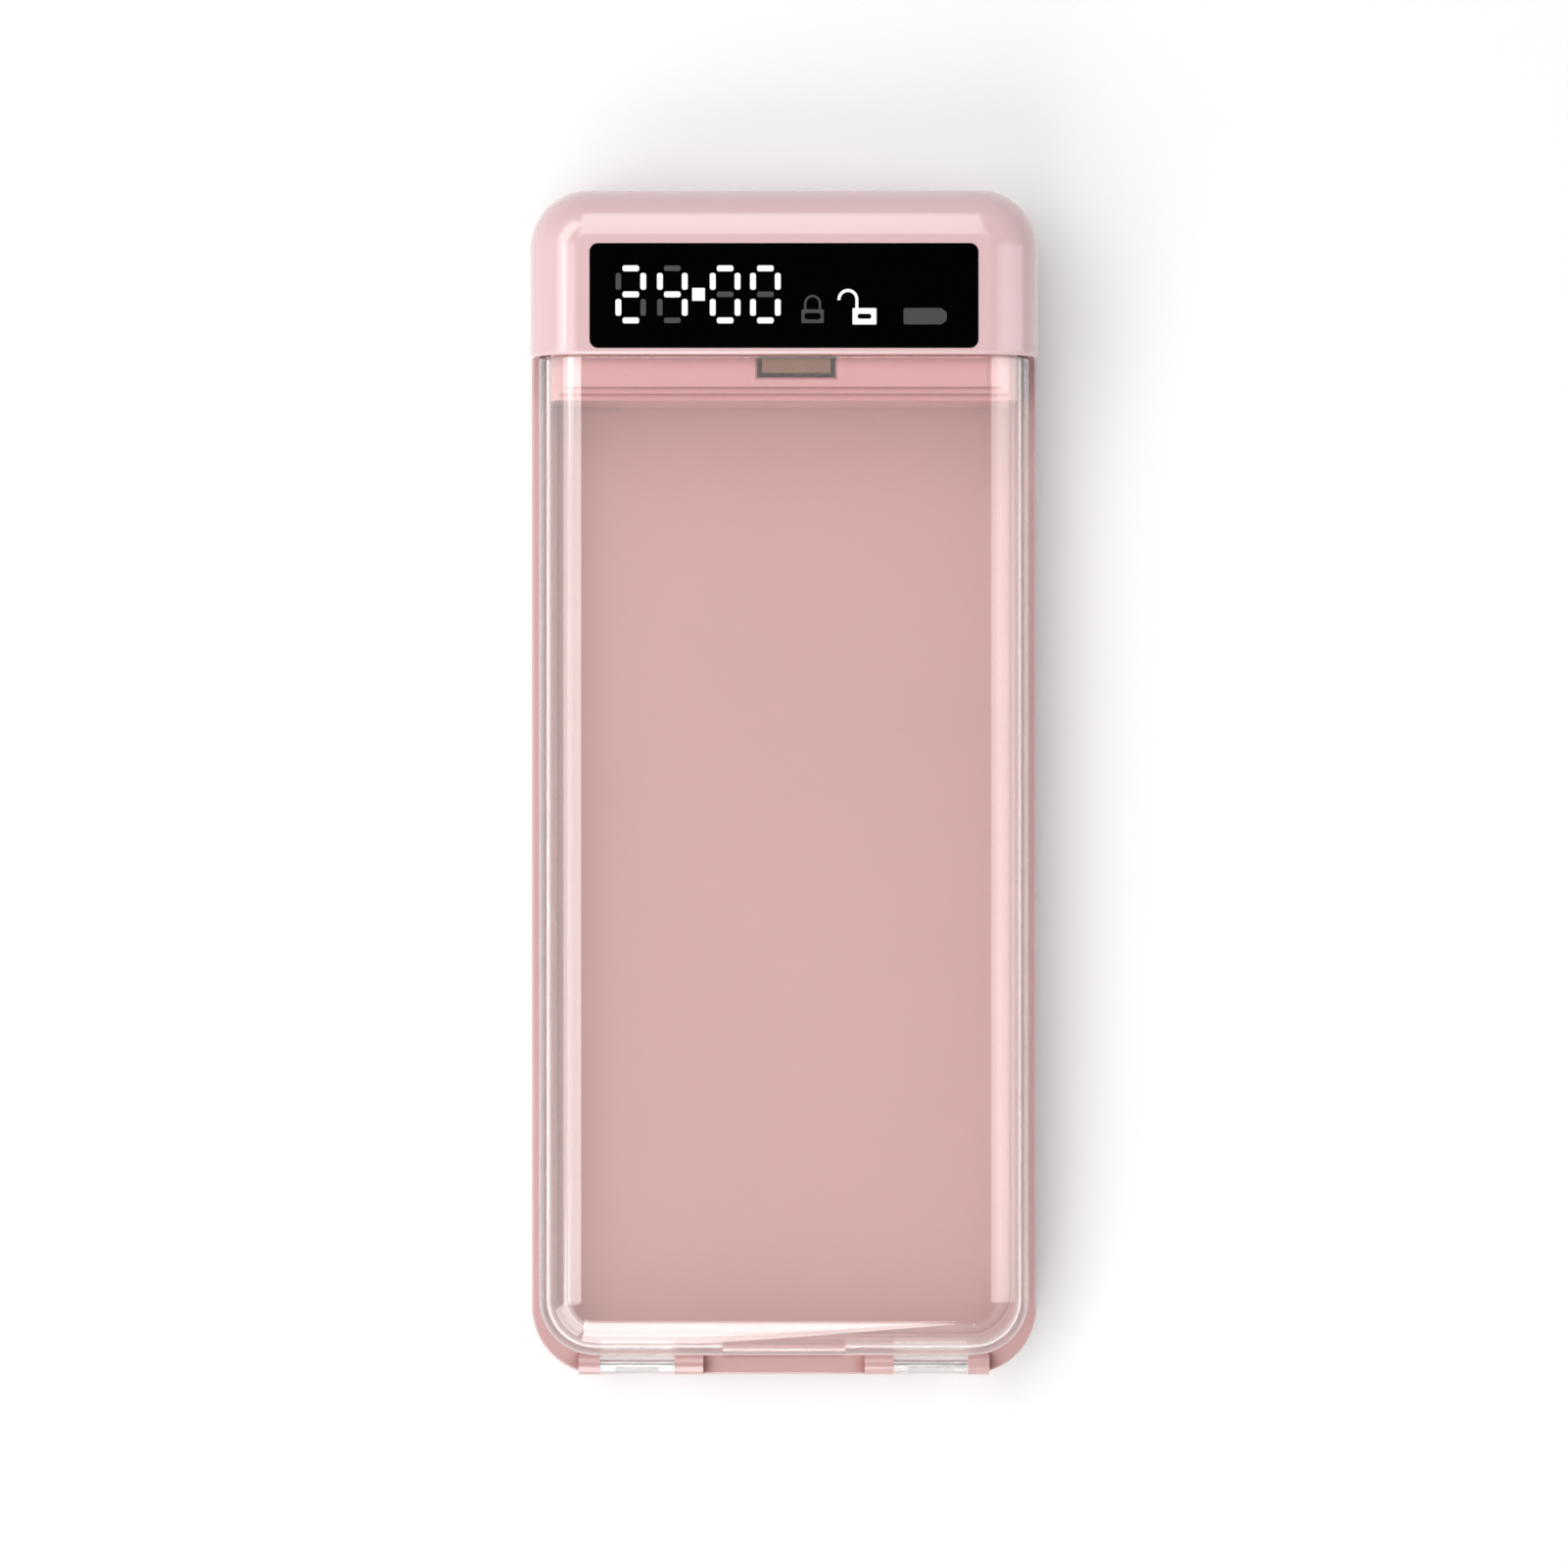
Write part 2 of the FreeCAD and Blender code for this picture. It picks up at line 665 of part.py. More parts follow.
def knuckle(side):
    """One knuckle: two round bosses joined by a flat bar, all reaching into the cover's tail wall."""
    x0, x1 = sorted((side * (KNUCKLE_FROM + BLOCK_GAP), side * (KNUCKLE_TO - BLOCK_GAP)))
    radius = KNUCKLE_RADIUS - KNUCKLE_PLAY
    shapes = []
    for a, b in ((x0, x0 + KNUCKLE_BOSS), (x1 - KNUCKLE_BOSS, x1)):
        shapes.append(rod(radius, point(a, HINGE_Y, HINGE_Z), point(b, HINGE_Y, HINGE_Z)))
        shapes.append(
            block(a, b, HINGE_Y, COVER_TAIL + KNUCKLE_ROOT, HINGE_Z - radius, HINGE_Z + radius)
        )
    slim = radius * KNUCKLE_BAR_SHARE
    shapes.append(
        block(x0, x1, HINGE_Y - slim, COVER_TAIL + KNUCKLE_ROOT, HINGE_Z - slim, HINGE_Z + slim)
    )
    return fuse(*shapes)


def clear_cover():
    outer = cover_shell(0, COVER_Z, COVER_FILLET)
    inner = cover_shell(COVER_WALL, COVER_Z - COVER_WALL, COVER_FILLET - COVER_WALL)
    thin = COVER_WALL - PANEL_DEPTH
    panel = cover_shell(thin, COVER_Z - thin, COVER_FILLET - thin).common(
        block(
            -PANEL_HALF,
            PANEL_HALF,
            TAIL_Y,
            COVER_TAIL + PANEL_REACH,
            COVER_FOOT_Z + 1,
            CASE_HEIGHT,
        )
    )
    span = block(-HALF, HALF, TAIL_Y, COVER_HEAD, 0, CASE_HEIGHT)
    body = outer.cut([inner, panel]).common(span)
    rim = [
        e
        for e in body.Edges
        if e.BoundBox.YMin > COVER_HEAD - 1e-4
        and e.BoundBox.ZMin > COVER_Z - 1e-4
    ]
    body = body.makeFillet(EDGE_ROUND, rim)
    body = fuse(body, knuckle(-1), knuckle(1))
    bores = []
    for side in (-1, 1):
        x0, x1 = pin_range(side)
        bores.append(
            rod(PIN_RADIUS + PIN_PLAY / 2, point(x0, HINGE_Y, HINGE_Z), point(x1, HINGE_Y, HINGE_Z))
        )
    return body.cut(bores)


def hinge_pin(side):
    x0, x1 = pin_range(side)
    return rod(PIN_RADIUS, point(x0, HINGE_Y, HINGE_Z), point(x1, HINGE_Y, HINGE_Z))


def latch_hook():
    """A clear plate under the cover's edge, with a window that the bolt goes through."""
    half = HOOK_WIDTH / 2
    top = COVER_Z - COVER_WALL
    plate = block(LATCH_X - half, LATCH_X + half, HOOK_FROM_Y, HOOK_TO_Y, HOOK_Z, top)
    upright = [
        e
        for e in plate.Edges
        if e.BoundBox.YLength > HOOK_THICK - 1e-6 and e.BoundBox.ZMax < HOOK_Z + 1e-6
    ]
    plate = plate.makeFillet(HOOK_CORNER, upright)
    rib = block(
        LATCH_X - HOOK_RIB / 2,
        LATCH_X + HOOK_RIB / 2,
        HOOK_FROM_Y - HOOK_SIDE_GAP / 2,
        HOOK_FROM_Y + HOOK_RIB_ROOT,
        WINDOW_Z + WINDOW_HEIGHT,
        top,
    )
    window = block(
        LATCH_X - WINDOW_WIDTH / 2,
        LATCH_X + WINDOW_WIDTH / 2,
        HOOK_FROM_Y - 1,
        HOOK_TO_Y + 1,
        WINDOW_Z,
        WINDOW_Z + WINDOW_HEIGHT,
    )
    return fuse(plate, rib).cut(window)


# Display head


def head_shell(inset, z_top, fillet, y_from):
    """The head's outside, drawn in by inset, from y_from to the end."""
    body = case_plan(inset, RIM_HEIGHT - 3 * inset, z_top)
    body = rounded_at(body, z_top, fillet)
    return body.common(block(-HALF, HALF, y_from, HEAD_Y, 0, CASE_HEIGHT + 1))


def ledge_shell(inset, y0, y1):
    """The ledge's outside, drawn in by inset: it follows the inside of the cover."""
    half = LEDGE_HALF - inset
    top = LEDGE_Z - inset
    body = block(-half, half, y0, y1, FLOOR_Z + FLOOR_GAP - inset, top)
    edges = [
        e
        for e in level_edges(body, top)
        if e.BoundBox.YLength > 1e-3
    ]
    return body.makeFillet(COVER_FILLET - COVER_WALL - LEDGE_GAP - inset, edges)


def head_cover():
    head = head_shell(0, CASE_HEIGHT, HEAD_FILLET, STEP_Y)
    front = [
        e
        for e in head.Edges
        if e.BoundBox.YMax < STEP_Y + 1e-4 and e.BoundBox.ZMin > CASE_HEIGHT - 1e-4
    ]
    head = head.makeFillet(HEAD_EDGE, front)
    ledge = ledge_shell(0, LEDGE_Y, STEP_Y + HEAD_END_WALL)
    steps = [
        block(
            -HALF,
            HALF,
            LEDGE_Y - 1,
            LEDGE_Y + count * STEP_LENGTH,
            LEDGE_Z - (3 - count) * STEP_DROP,
            CASE_HEIGHT,
        )
        for count in (1, 2)
    ]
    ledge = ledge.cut(steps)
    lip = case_plan(CASE_END_WALL + LIP_GAP, RIM_HEIGHT - LIP_DEPTH, RIM_HEIGHT + 1).cut(
        case_plan(CASE_END_WALL + LIP_GAP + LIP_WALL, 0, CASE_HEIGHT)
    )
    lip = lip.common(block(-HALF, HALF, STEP_Y + HEAD_END_WALL, HEAD_Y, 0, CASE_HEIGHT))
    hollow_head = head_shell(
        HEAD_WALL, HEAD_INNER_Z, HEAD_FILLET - HEAD_WALL, STEP_Y + HEAD_END_WALL
    )
    hollow_ledge = ledge_shell(LEDGE_WALL, LEDGE_Y + LEDGE_WALL, STEP_Y + HEAD_END_WALL + 1)
    shelf = [
        block(
            -HALF,
            HALF,
            LEDGE_Y,
            LEDGE_Y + 2 * STEP_LENGTH + LEDGE_WALL,
            LEDGE_Z - 2 * STEP_DROP - LEDGE_WALL,
            CASE_HEIGHT,
        )
    ]
    hollow_ledge = hollow_ledge.cut(shelf)
    body = fuse(head, ledge).cut([hollow_head, hollow_ledge])
    boss_top = HEAD_INNER_Z + HEAD_WALL / 2
    bosses = [
        post(x, y, FLOOR_Z + CASE_BOSS_HEIGHT + BOSS_GAP, boss_top, CASE_BOSS)
        for x, y in CASE_SCREWS
    ]
    board_face = DISPLAY_BOARD_Z + DISPLAY_BOARD_THICK + BOSS_GAP
    bosses += [
        post(side * DISPLAY_SCREW_X, LENS_Y, board_face, HEAD_INNER_Z + DISPLAY_BOSS_ROOT, DISPLAY_BOSS)
        for side in (-1, 1)
    ]
    keep_in = head_shell(HEAD_WALL / 2, boss_top, HEAD_FILLET - HEAD_WALL / 2, STEP_Y)
    side_x = HALF - BOSS_SIDE_ROOM
    deep = keep_in.fuse(block(-side_x, side_x, STEP_Y, CASE_INNER_Y - BOSS_END_ROOM, 0, RIM_HEIGHT))
    body = fuse(body, lip, *[boss.common(deep) for boss in bosses])
    cuts = [
        post(x, y, 0, FLOOR_Z + CASE_SCREW_LENGTH, CASE_SCREW_RADIUS + SCREW_PLAY)
        for x, y in CASE_SCREWS
    ]
    display_hole_top = DISPLAY_BOARD_Z + DISPLAY_SCREW_LENGTH + SCREW_TIP_ROOM
    cuts += [
        post(side * DISPLAY_SCREW_X, LENS_Y, 0, display_hole_top, SMALL_SCREW_RADIUS + SCREW_PLAY)
        for side in (-1, 1)
    ]
    cuts.append(lens_block(LENS_GAP, LENS_FLOOR_Z, CASE_HEIGHT + 1))
    cuts.append(lens_block(-LENS_SHELF, HEAD_INNER_Z - 1, CASE_HEIGHT))
    cuts.append(latch_slot())
    return body.cut(cuts)


def lens_block(grow, z0, z1):
    """The lens's plan, grown by a gap or drawn in where grow is negative."""
    half_x = LENS_WIDTH / 2 + grow
    half_y = LENS_LENGTH / 2 + grow
    radius = max(LENS_CORNER + grow, LENS_LEAST_CORNER)
    corners = [
        (-half_x, LENS_Y - half_y, radius),
        (half_x, LENS_Y - half_y, radius),
        (half_x, LENS_Y + half_y, radius),
        (-half_x, LENS_Y + half_y, radius),
    ]
    return outline_face(corners, z0).extrude(point(0, 0, z1 - z0))


def latch_slot():
    """The slot in the ledge for the hook, with a bevelled mouth."""
    half = SLOT_WIDTH / 2
    y0, y1 = SLOT_TO_Y - SLOT_LENGTH, SLOT_TO_Y
    slot = block(LATCH_X - half, LATCH_X + half, y0, y1, LEDGE_Z - LEDGE_WALL - 1, LEDGE_Z)
    mouth = block(
        LATCH_X - half - SLOT_EDGE,
        LATCH_X + half + SLOT_EDGE,
        y0 - SLOT_EDGE,
        y1,
        LEDGE_Z - SLOT_EDGE,
        LEDGE_Z + 1,
    )
    return slot.fuse(mouth)


# Display: black lens with light inlays, module and board


def inlay(corners, grow=0.0):
    """A flat inlay in the lens's face, from an outline in the lens's own frame."""
    depth = INLAY_DEPTH + grow
    moved = [(x, LENS_Y + y, r) for x, y, r in corners]
    return outline_face(moved, LENS_Z - depth).extrude(point(0, 0, depth + grow))


def bar(x, y, width, height, radius, grow=0.0):
    """A rounded bar in the lens's face, centred at (x, y)."""
    half_x, half_y = width / 2 + grow, height / 2 + grow
    corners = [
        (x - half_x, y - half_y, radius),
        (x + half_x, y - half_y, radius),
        (x + half_x, y + half_y, radius),
        (x - half_x, y + half_y, radius),
    ]
    return inlay(corners, grow)


SEGMENTS = {
    "top": (0, 1, False),
    "middle": (0, 0, False),
    "bottom": (0, -1, False),
    "upper_left": (-1, 0.5, True),
    "upper_right": (1, 0.5, True),
    "lower_left": (-1, -0.5, True),
    "lower_right": (1, -0.5, True),
}
LIT = {
    0: ("top", "bottom", "upper_left", "upper_right", "lower_left", "lower_right"),
    2: ("top", "middle", "bottom", "upper_right", "lower_left"),
    4: ("middle", "upper_left", "upper_right", "lower_right"),
}


def digit_bars(lit, grow=0.0):
    """The bars of the four digits that are lit, or those that are dim."""
    across = (DIGIT_WIDTH - SEGMENT_WIDTH) / 2
    along = (DIGIT_HEIGHT - SEGMENT_WIDTH) / 2
    width = SEGMENT_WIDTH if lit else DIM_WIDTH
    length = SEGMENT_LENGTH
    bars = []
    for centre, digit in zip(DIGIT_X, DIGITS):
        for name, (sx, sy, upright) in SEGMENTS.items():
            if (name in LIT[digit]) != lit:
                continue
            size = (width, length) if upright else (length, width)
            bars.append(
                bar(
                    centre + sx * across,
                    DIGIT_Y + sy * along,
                    size[0],
                    size[1],
                    width * BAR_ROUND_SHARE,
                    grow,
                )
            )
    if lit:
        bars.append(bar(DOT_X, DIGIT_Y, DOT_SIDE, DOT_SIDE, DOT_ROUND, grow))
    return bars


def arc_band(x, y, radius, width, angle0, angle1, grow=0.0):
    """A band of a ring in the lens's face, from angle0 to angle1 in degrees."""
    depth = INLAY_DEPTH + grow
    z = LENS_Z - depth
    centre = point(x, LENS_Y + y, z)
    up = point(0, 0, 1)
    tall = depth + grow
    outer = Part.makeCylinder(radius + width / 2 + grow, tall, centre, up, angle1 - angle0)
    inner = Part.makeCylinder(radius - width / 2 - grow, tall, centre, up)
    band = outer.cut(inner)
    band.rotate(centre, up, angle0)
    return band


def padlock(x, sign, open_wide, grow=0.0):
    """A padlock sign: a body with a dark slot, and a shackle that is closed or swung open."""
    width, height, slot_width, slot_height, line = sign
    top = ICON_Y + height / 2
    slot_round = slot_height * SIGN_SLOT_SHARE
    body = bar(x, ICON_Y, width, height, SIGN_ROUND, grow)
    if grow == 0:
        body = body.cut(bar(x, ICON_Y, slot_width, slot_height, slot_round))
    else:
        slot = bar(x, ICON_Y, slot_width - 2 * grow, slot_height - 2 * grow, slot_round - grow)
        slot = slot.fuse([slot.translated(point(0, 0, shift)) for shift in (-grow, grow)])
        body = body.cut(slot)
    if open_wide:
        leg_x = x - width / 2 + OPEN_LEG_INSET
        leg = sign_leg(leg_x, top, OPEN_LEG_HEIGHT, line, grow)
        bow_x = leg_x - OPEN_BOW_RADIUS
        bow = arc_band(bow_x, top + OPEN_LEG_HEIGHT, OPEN_BOW_RADIUS, line, 0, OPEN_BOW_ANGLE, grow)
        return fuse(body, leg, bow)
    legs = [
        sign_leg(x + side * CLOSED_BOW_RADIUS, top, CLOSED_LEG_HEIGHT, line, grow)
        for side in (-1, 1)
    ]
    bow = arc_band(x, top + CLOSED_LEG_HEIGHT, CLOSED_BOW_RADIUS, line, 0, CLOSED_BOW_ANGLE, grow)
    return fuse(body, *legs, bow)


def sign_leg(x, top, height, line, grow):
    """One upright leg of a shackle, rooted in the sign's body."""
    middle = top + (height - SIGN_LEG_ROOT) / 2
    return bar(x, middle, line, height + SIGN_LEG_ROOT, SIGN_LEG_ROUND, grow)


def icon_unlocked(grow=0.0):
    return padlock(UNLOCKED_X, UNLOCKED_SIGN, True, grow)


def icon_locked(grow=0.0):
    return padlock(LOCKED_X, LOCKED_SIGN, False, grow)


def icon_battery(grow=0.0):
    half_x, half_y, tip = BATTERY_SIGN
    half_x += grow
    half_y += grow
    end_round, shoulder_round, tip_round = BATTERY_SIGN_ROUNDS
    x = BATTERY_ICON_X
    corners = [
        (x - half_x, ICON_Y - half_y, end_round),
        (x + half_x, ICON_Y - half_y, shoulder_round),
        (x + half_x + tip, ICON_Y - half_y / 2, tip_round),
        (x + half_x + tip, ICON_Y + half_y / 2, tip_round),
        (x + half_x, ICON_Y + half_y, shoulder_round),
        (x - half_x, ICON_Y + half_y, end_round),
    ]
    return inlay(corners, grow)


def display_lens():
    lens = lens_block(0, LENS_FLOOR_Z, LENS_Z)
    lens = rounded_at(lens, LENS_Z, LENS_ROUND)
    pockets = digit_bars(True, INLAY_GAP) + digit_bars(False, INLAY_GAP)
    pockets += [icon_unlocked(INLAY_GAP), icon_locked(INLAY_GAP), icon_battery(INLAY_GAP)]
    return lens.cut(pockets)


def display_module():
    """The black block of light chambers between the display board and the lens."""
    grow = -LENS_SHELF - MODULE_GAP
    top = LENS_FLOOR_Z - MODULE_GAP
    return lens_block(grow, DISPLAY_BOARD_Z + DISPLAY_BOARD_THICK, top)


def display_board():
    half_x, half_y = LENS_WIDTH / 2 + DISPLAY_BOARD_OVERHANG, DISPLAY_BOARD_LENGTH / 2
    z0, z1 = DISPLAY_BOARD_Z, DISPLAY_BOARD_Z + DISPLAY_BOARD_THICK
    board = block(-half_x, half_x, LENS_Y - half_y, LENS_Y + half_y, z0, z1)
    holes = [
        post(side * DISPLAY_SCREW_X, LENS_Y, z0 - 1, z1 + 1, SMALL_SCREW_RADIUS + SMALL_HOLE_PLAY)
        for side in (-1, 1)
    ]
    round_bosses = [
        post(x, y, z0 - 1, z1 + 1, CASE_BOSS + DISPLAY_BOARD_BOSS_GAP) for x, y in CASE_SCREWS
    ]
    return board.cut(holes + round_bosses)


def display_screws():
    shapes = [
        screw(
            side * DISPLAY_SCREW_X,
            LENS_Y,
            DISPLAY_BOARD_Z - SMALL_SCREW_HEAD_THICK,
            DISPLAY_SCREW_LENGTH,
            SMALL_SCREW_RADIUS,
            SMALL_SCREW_HEAD,
            SMALL_SCREW_HEAD_THICK,
            True,
        )
        for side in (-1, 1)
    ]
    return Part.makeCompound(shapes)


def display_flex():
    """The flat cable between the two boards: out of one plug, round two bends and into the other."""
    z_low = BOARD_TOP + PLUG_HEIGHT / 2
    z_high = DISPLAY_BOARD_Z - PLUG_HEIGHT / 2
    y_out = FLEX_Y - FLEX_REACH
    half = FLEX_THICK / 2

    def ribbon(shift):
        """Half of the cable's outline, on one side of its middle line."""
        bend = FLEX_BEND + shift
        near = y_out - shift
        low, high = z_low - shift, z_high + shift
        diagonal = bend * (1 - math.sqrt(0.5))
        lower_arc = (
            point(0, near + bend, low),
            point(0, near + diagonal, low + diagonal),
            point(0, near, low + bend),
        )
        upper_arc = (
            point(0, near, high - bend),
            point(0, near + diagonal, high - diagonal),
            point(0, near + bend, high),
        )
        return lower_arc, upper_arc, point(0, FLEX_Y, low), point(0, FLEX_Y, high)

    lower, upper, low_end, high_end = ribbon(half)
    in_lower, in_upper, in_low_end, in_high_end = ribbon(-half)
    line = Part.LineSegment
    edges = [
        line(low_end, lower[0]).toShape(),
        Part.Arc(*lower).toShape(),
        line(lower[2], upper[0]).toShape(),
        Part.Arc(*upper).toShape(),
        line(upper[2], high_end).toShape(),
        line(high_end, in_high_end).toShape(),
        line(in_high_end, in_upper[2]).toShape(),
        Part.Arc(*reversed(in_upper)).toShape(),
        line(in_upper[0], in_lower[2]).toShape(),
        Part.Arc(*reversed(in_lower)).toShape(),
        line(in_lower[0], in_low_end).toShape(),
        line(in_low_end, low_end).toShape(),
    ]
    face = Part.Face(Part.Wire(edges))
    face.translate(point(FLEX_X[0], 0, 0))
    return face.extrude(point(FLEX_X[1] - FLEX_X[0], 0, 0))


def flex_plug(z0):
    x0, x1 = FLEX_X[0] - PLUG_MARGIN, FLEX_X[1] + PLUG_MARGIN
    return block(x0, x1, FLEX_Y, FLEX_Y + PLUG_LENGTH, z0, z0 + PLUG_HEIGHT)


# Main board, battery, port, switches and buttons


def main_board():
    corners = [
        (BOARD_RIGHT_FROM, BOARD_FROM_Y, BOARD_CORNER),
        (BOARD_RIGHT_TO, BOARD_FROM_Y, BOARD_CORNER),
        (BOARD_RIGHT_TO, BOARD_TO_Y, BOARD_CORNER),
        (BOARD_LEFT_X, BOARD_TO_Y, BOARD_CORNER),
        (BOARD_LEFT_X, BOARD_TO_Y - BOARD_STRIP, BOARD_CORNER),
        (BOARD_RIGHT_FROM, BOARD_TO_Y - BOARD_STRIP, BOARD_CORNER),
    ]
    board = outline_face(corners, BOARD_Z).extrude(point(0, 0, BOARD_THICK))
    holes = [
        post(x, y, BOARD_Z - 1, BOARD_TOP + 1, SMALL_SCREW_RADIUS + SMALL_HOLE_PLAY) for x, y in BOARD_POSTS
    ]
    return board.cut(holes)


def board_screws():
    shapes = [
        screw(
            x,
            y,
            BOARD_TOP + SMALL_SCREW_HEAD_THICK,
            BOARD_SCREW_LENGTH,
            SMALL_SCREW_RADIUS,
            SMALL_SCREW_HEAD,
            SMALL_SCREW_HEAD_THICK,
            False,
        )
        for x, y in BOARD_POSTS
    ]
    return Part.makeCompound(shapes)


def board_parts():
    """Chips, coil and plugs on the two boards."""
    shapes = [flex_plug(BOARD_TOP), flex_plug(DISPLAY_BOARD_Z - PLUG_HEIGHT)]
    for width, length, height, x_in, y_in in BOARD_CHIPS:
        x, y = BOARD_RIGHT_FROM + x_in, BOARD_FROM_Y + y_in
        shapes.append(block(x, x + width, y, y + length, BOARD_TOP, BOARD_TOP + height))
    width, length, height = RESISTOR_SIZE
    y = BOARD_FROM_Y + RESISTOR_ROW
    for count in range(RESISTORS):
        x = BOARD_RIGHT_FROM + RESISTOR_START + RESISTOR_STEP * count
        shapes.append(block(x, x + width, y, y + length, BOARD_TOP, BOARD_TOP + height))
    return Part.makeCompound(shapes)


def battery():
    width, length, thick = BATTERY_SIZE
    x0, y0 = BATTERY_X - width / 2, LEDGE_Y + BATTERY_Y
    cell = block(x0, x0 + width, y0, y0 + length, FLOOR_Z, FLOOR_Z + thick)
    edges = [e for e in cell.Edges if e.BoundBox.YLength > length / 2]
    return cell.makeFillet(BATTERY_ROUND, edges)


def battery_leads():
    y0 = LEDGE_Y + BATTERY_Y
    z0 = FLOOR_Z + BATTERY_SIZE[2] / 2
    z1 = BOARD_TOP + BATTERY_LEAD_RISE
    y_out = BOARD_FROM_Y - BATTERY_LEAD_OUT
    y_in = BOARD_FROM_Y + BATTERY_LEAD_IN
    shapes = []
    for offset in BATTERY_LEAD_X:
        x = BATTERY_X + offset
        spots = [
            point(x, y0, z0),
            point(x, y_out, z0),
            point(x, y_out, z1),
            point(x, y_in, z1),
            point(x, y_in, BOARD_TOP),
        ]
        shapes.append(lead(spots, LEAD_RADIUS, LEAD_BEND))
    return Part.makeCompound(shapes)


def usb_shell():
    z = BOARD_TOP + USB_HEIGHT / 2
    y1 = HEAD_Y - USB_INSET
    y0 = y1 - USB_DEPTH
    outer = end_block(USB_X, z, USB_WIDTH, USB_HEIGHT, y0, y1, USB_HEIGHT * USB_ROUND_SHARE)
    inner = end_block(
        USB_X,
        z,
        USB_WIDTH - 2 * USB_SHELL,
        USB_HEIGHT - 2 * USB_SHELL,
        y0 + USB_SHELL,
        y1 + 1,
        (USB_HEIGHT - 2 * USB_SHELL) * USB_ROUND_SHARE,
    )
    return outer.cut(inner)


def usb_tongue():
    z = BOARD_TOP + USB_HEIGHT / 2
    y0 = HEAD_Y - USB_INSET - USB_DEPTH + USB_SHELL
    inner_height = USB_HEIGHT - 2 * USB_SHELL
    base = end_block(
        USB_X,
        z,
        USB_WIDTH - 2 * USB_SHELL - 2 * TONGUE_GAP,
        inner_height - 2 * TONGUE_GAP,
        y0,
        y0 + TONGUE_BASE,
        inner_height * USB_ROUND_SHARE - TONGUE_GAP,
    )
    half, slim = TONGUE_WIDTH / 2, TONGUE_THICK / 2
    y1 = y0 + USB_DEPTH - TONGUE_SETBACK
    blade = block(USB_X - half, USB_X + half, y0, y1, z - slim, z + slim)
    return fuse(base, blade)


def tact_switches():
    width, depth, height = SWITCH_SIZE
    shapes = []
    for x in BUTTON_X:
        body = block(
            x - width / 2, x + width / 2, SWITCH_Y, SWITCH_Y + depth, BOARD_TOP, BOARD_TOP + height
        )
        nub = rod(
            SWITCH_NUB_RADIUS,
            point(x, SWITCH_Y + depth - SWITCH_NUB_ROOT, BUTTON_Z),
            point(x, SWITCH_Y + depth + SWITCH_NUB, BUTTON_Z),
        )
        shapes.append(fuse(body, nub))
    return Part.makeCompound(shapes)


def button(x):
    """One push button: a cap in the case's end wall, a flange behind the wall and a stem."""
    y_flange = CASE_INNER_Y - BUTTON_FLANGE_GAP
    y_face = HEAD_Y - BUTTON_RECESS
    radius = BUTTON_HEIGHT / 2 - BUTTON_GAP
    cap = end_block(
        x, BUTTON_Z, BUTTON_WIDTH, BUTTON_HEIGHT, y_flange - BUTTON_FLANGE, y_face, radius
    )
    face_edges = [e for e in cap.Edges if e.BoundBox.YMin > y_face - 1e-4]
    cap = cap.makeFillet(BUTTON_ROUND, face_edges)
    flange = end_block(
        x,
        BUTTON_Z,
        BUTTON_WIDTH + 2 * BUTTON_FLANGE_RIM,
        BUTTON_HEIGHT + 2 * BUTTON_FLANGE_RIM,
        y_flange - BUTTON_FLANGE,
        y_flange,
        radius,
    )
    stem = rod(
        SWITCH_NUB_RADIUS,
        point(x, y_flange - BUTTON_FLANGE - BUTTON_STEM, BUTTON_Z),
        point(x, y_flange, BUTTON_Z),
    )
    return fuse(cap, flange, stem)


# Lock drive: bolt with rack, pinion, motor, bracket and strap


def gear_face(teeth, module):
    """A pinion's outline with involute flanks, in the XY plane, with a tooth along +Y."""
    pitch = module * teeth / 2
    base = pitch * math.cos(math.radians(PRESSURE_ANGLE))
    tip = pitch + ADDENDUM * module
    root = pitch - DEDENDUM * module
    spread = math.tan(math.radians(PRESSURE_ANGLE)) - math.radians(PRESSURE_ANGLE)
    half_tooth = math.pi / (2 * teeth) - BACKLASH / (2 * pitch)
    flank = []
    low = max(base, root)
    for step in range(FLANK_STEPS + 1):
        radius = low + (tip - low) * step / FLANK_STEPS
        roll = math.acos(min(1.0, base / radius))
        angle = half_tooth + spread - (math.tan(roll) - roll)
        flank.append((radius, angle))

    def spot(radius, angle):
        return point(radius * math.sin(angle), radius * math.cos(angle), 0)

    edges = []
    pitch_angle = 2 * math.pi / teeth
    for tooth in range(teeth):
        middle = tooth * pitch_angle
        left = [spot(r, middle - a) for r, a in flank]
        right = [spot(r, middle + a) for r, a in reversed(flank)]
        foot_left = spot(root, middle - flank[0][1])
        foot_right = spot(root, middle + flank[0][1])
        next_left = spot(root, middle + pitch_angle - flank[0][1])
        edges.append(Part.LineSegment(foot_left, left[0]).toShape())
        rise = Part.BSplineCurve()
        rise.interpolate(left)
        edges.append(rise.toShape())
        edges.append(Part.Arc(left[-1], spot(tip, middle), right[0]).toShape())
        fall = Part.BSplineCurve()
        fall.interpolate(right)
        edges.append(fall.toShape())
        edges.append(Part.LineSegment(right[-1], foot_right).toShape())
        gap_middle = spot(root, middle + pitch_angle / 2)
        edges.append(Part.Arc(foot_right, gap_middle, next_left).toShape())
    return Part.Face(Part.Wire(Part.__sortEdges__(edges)))


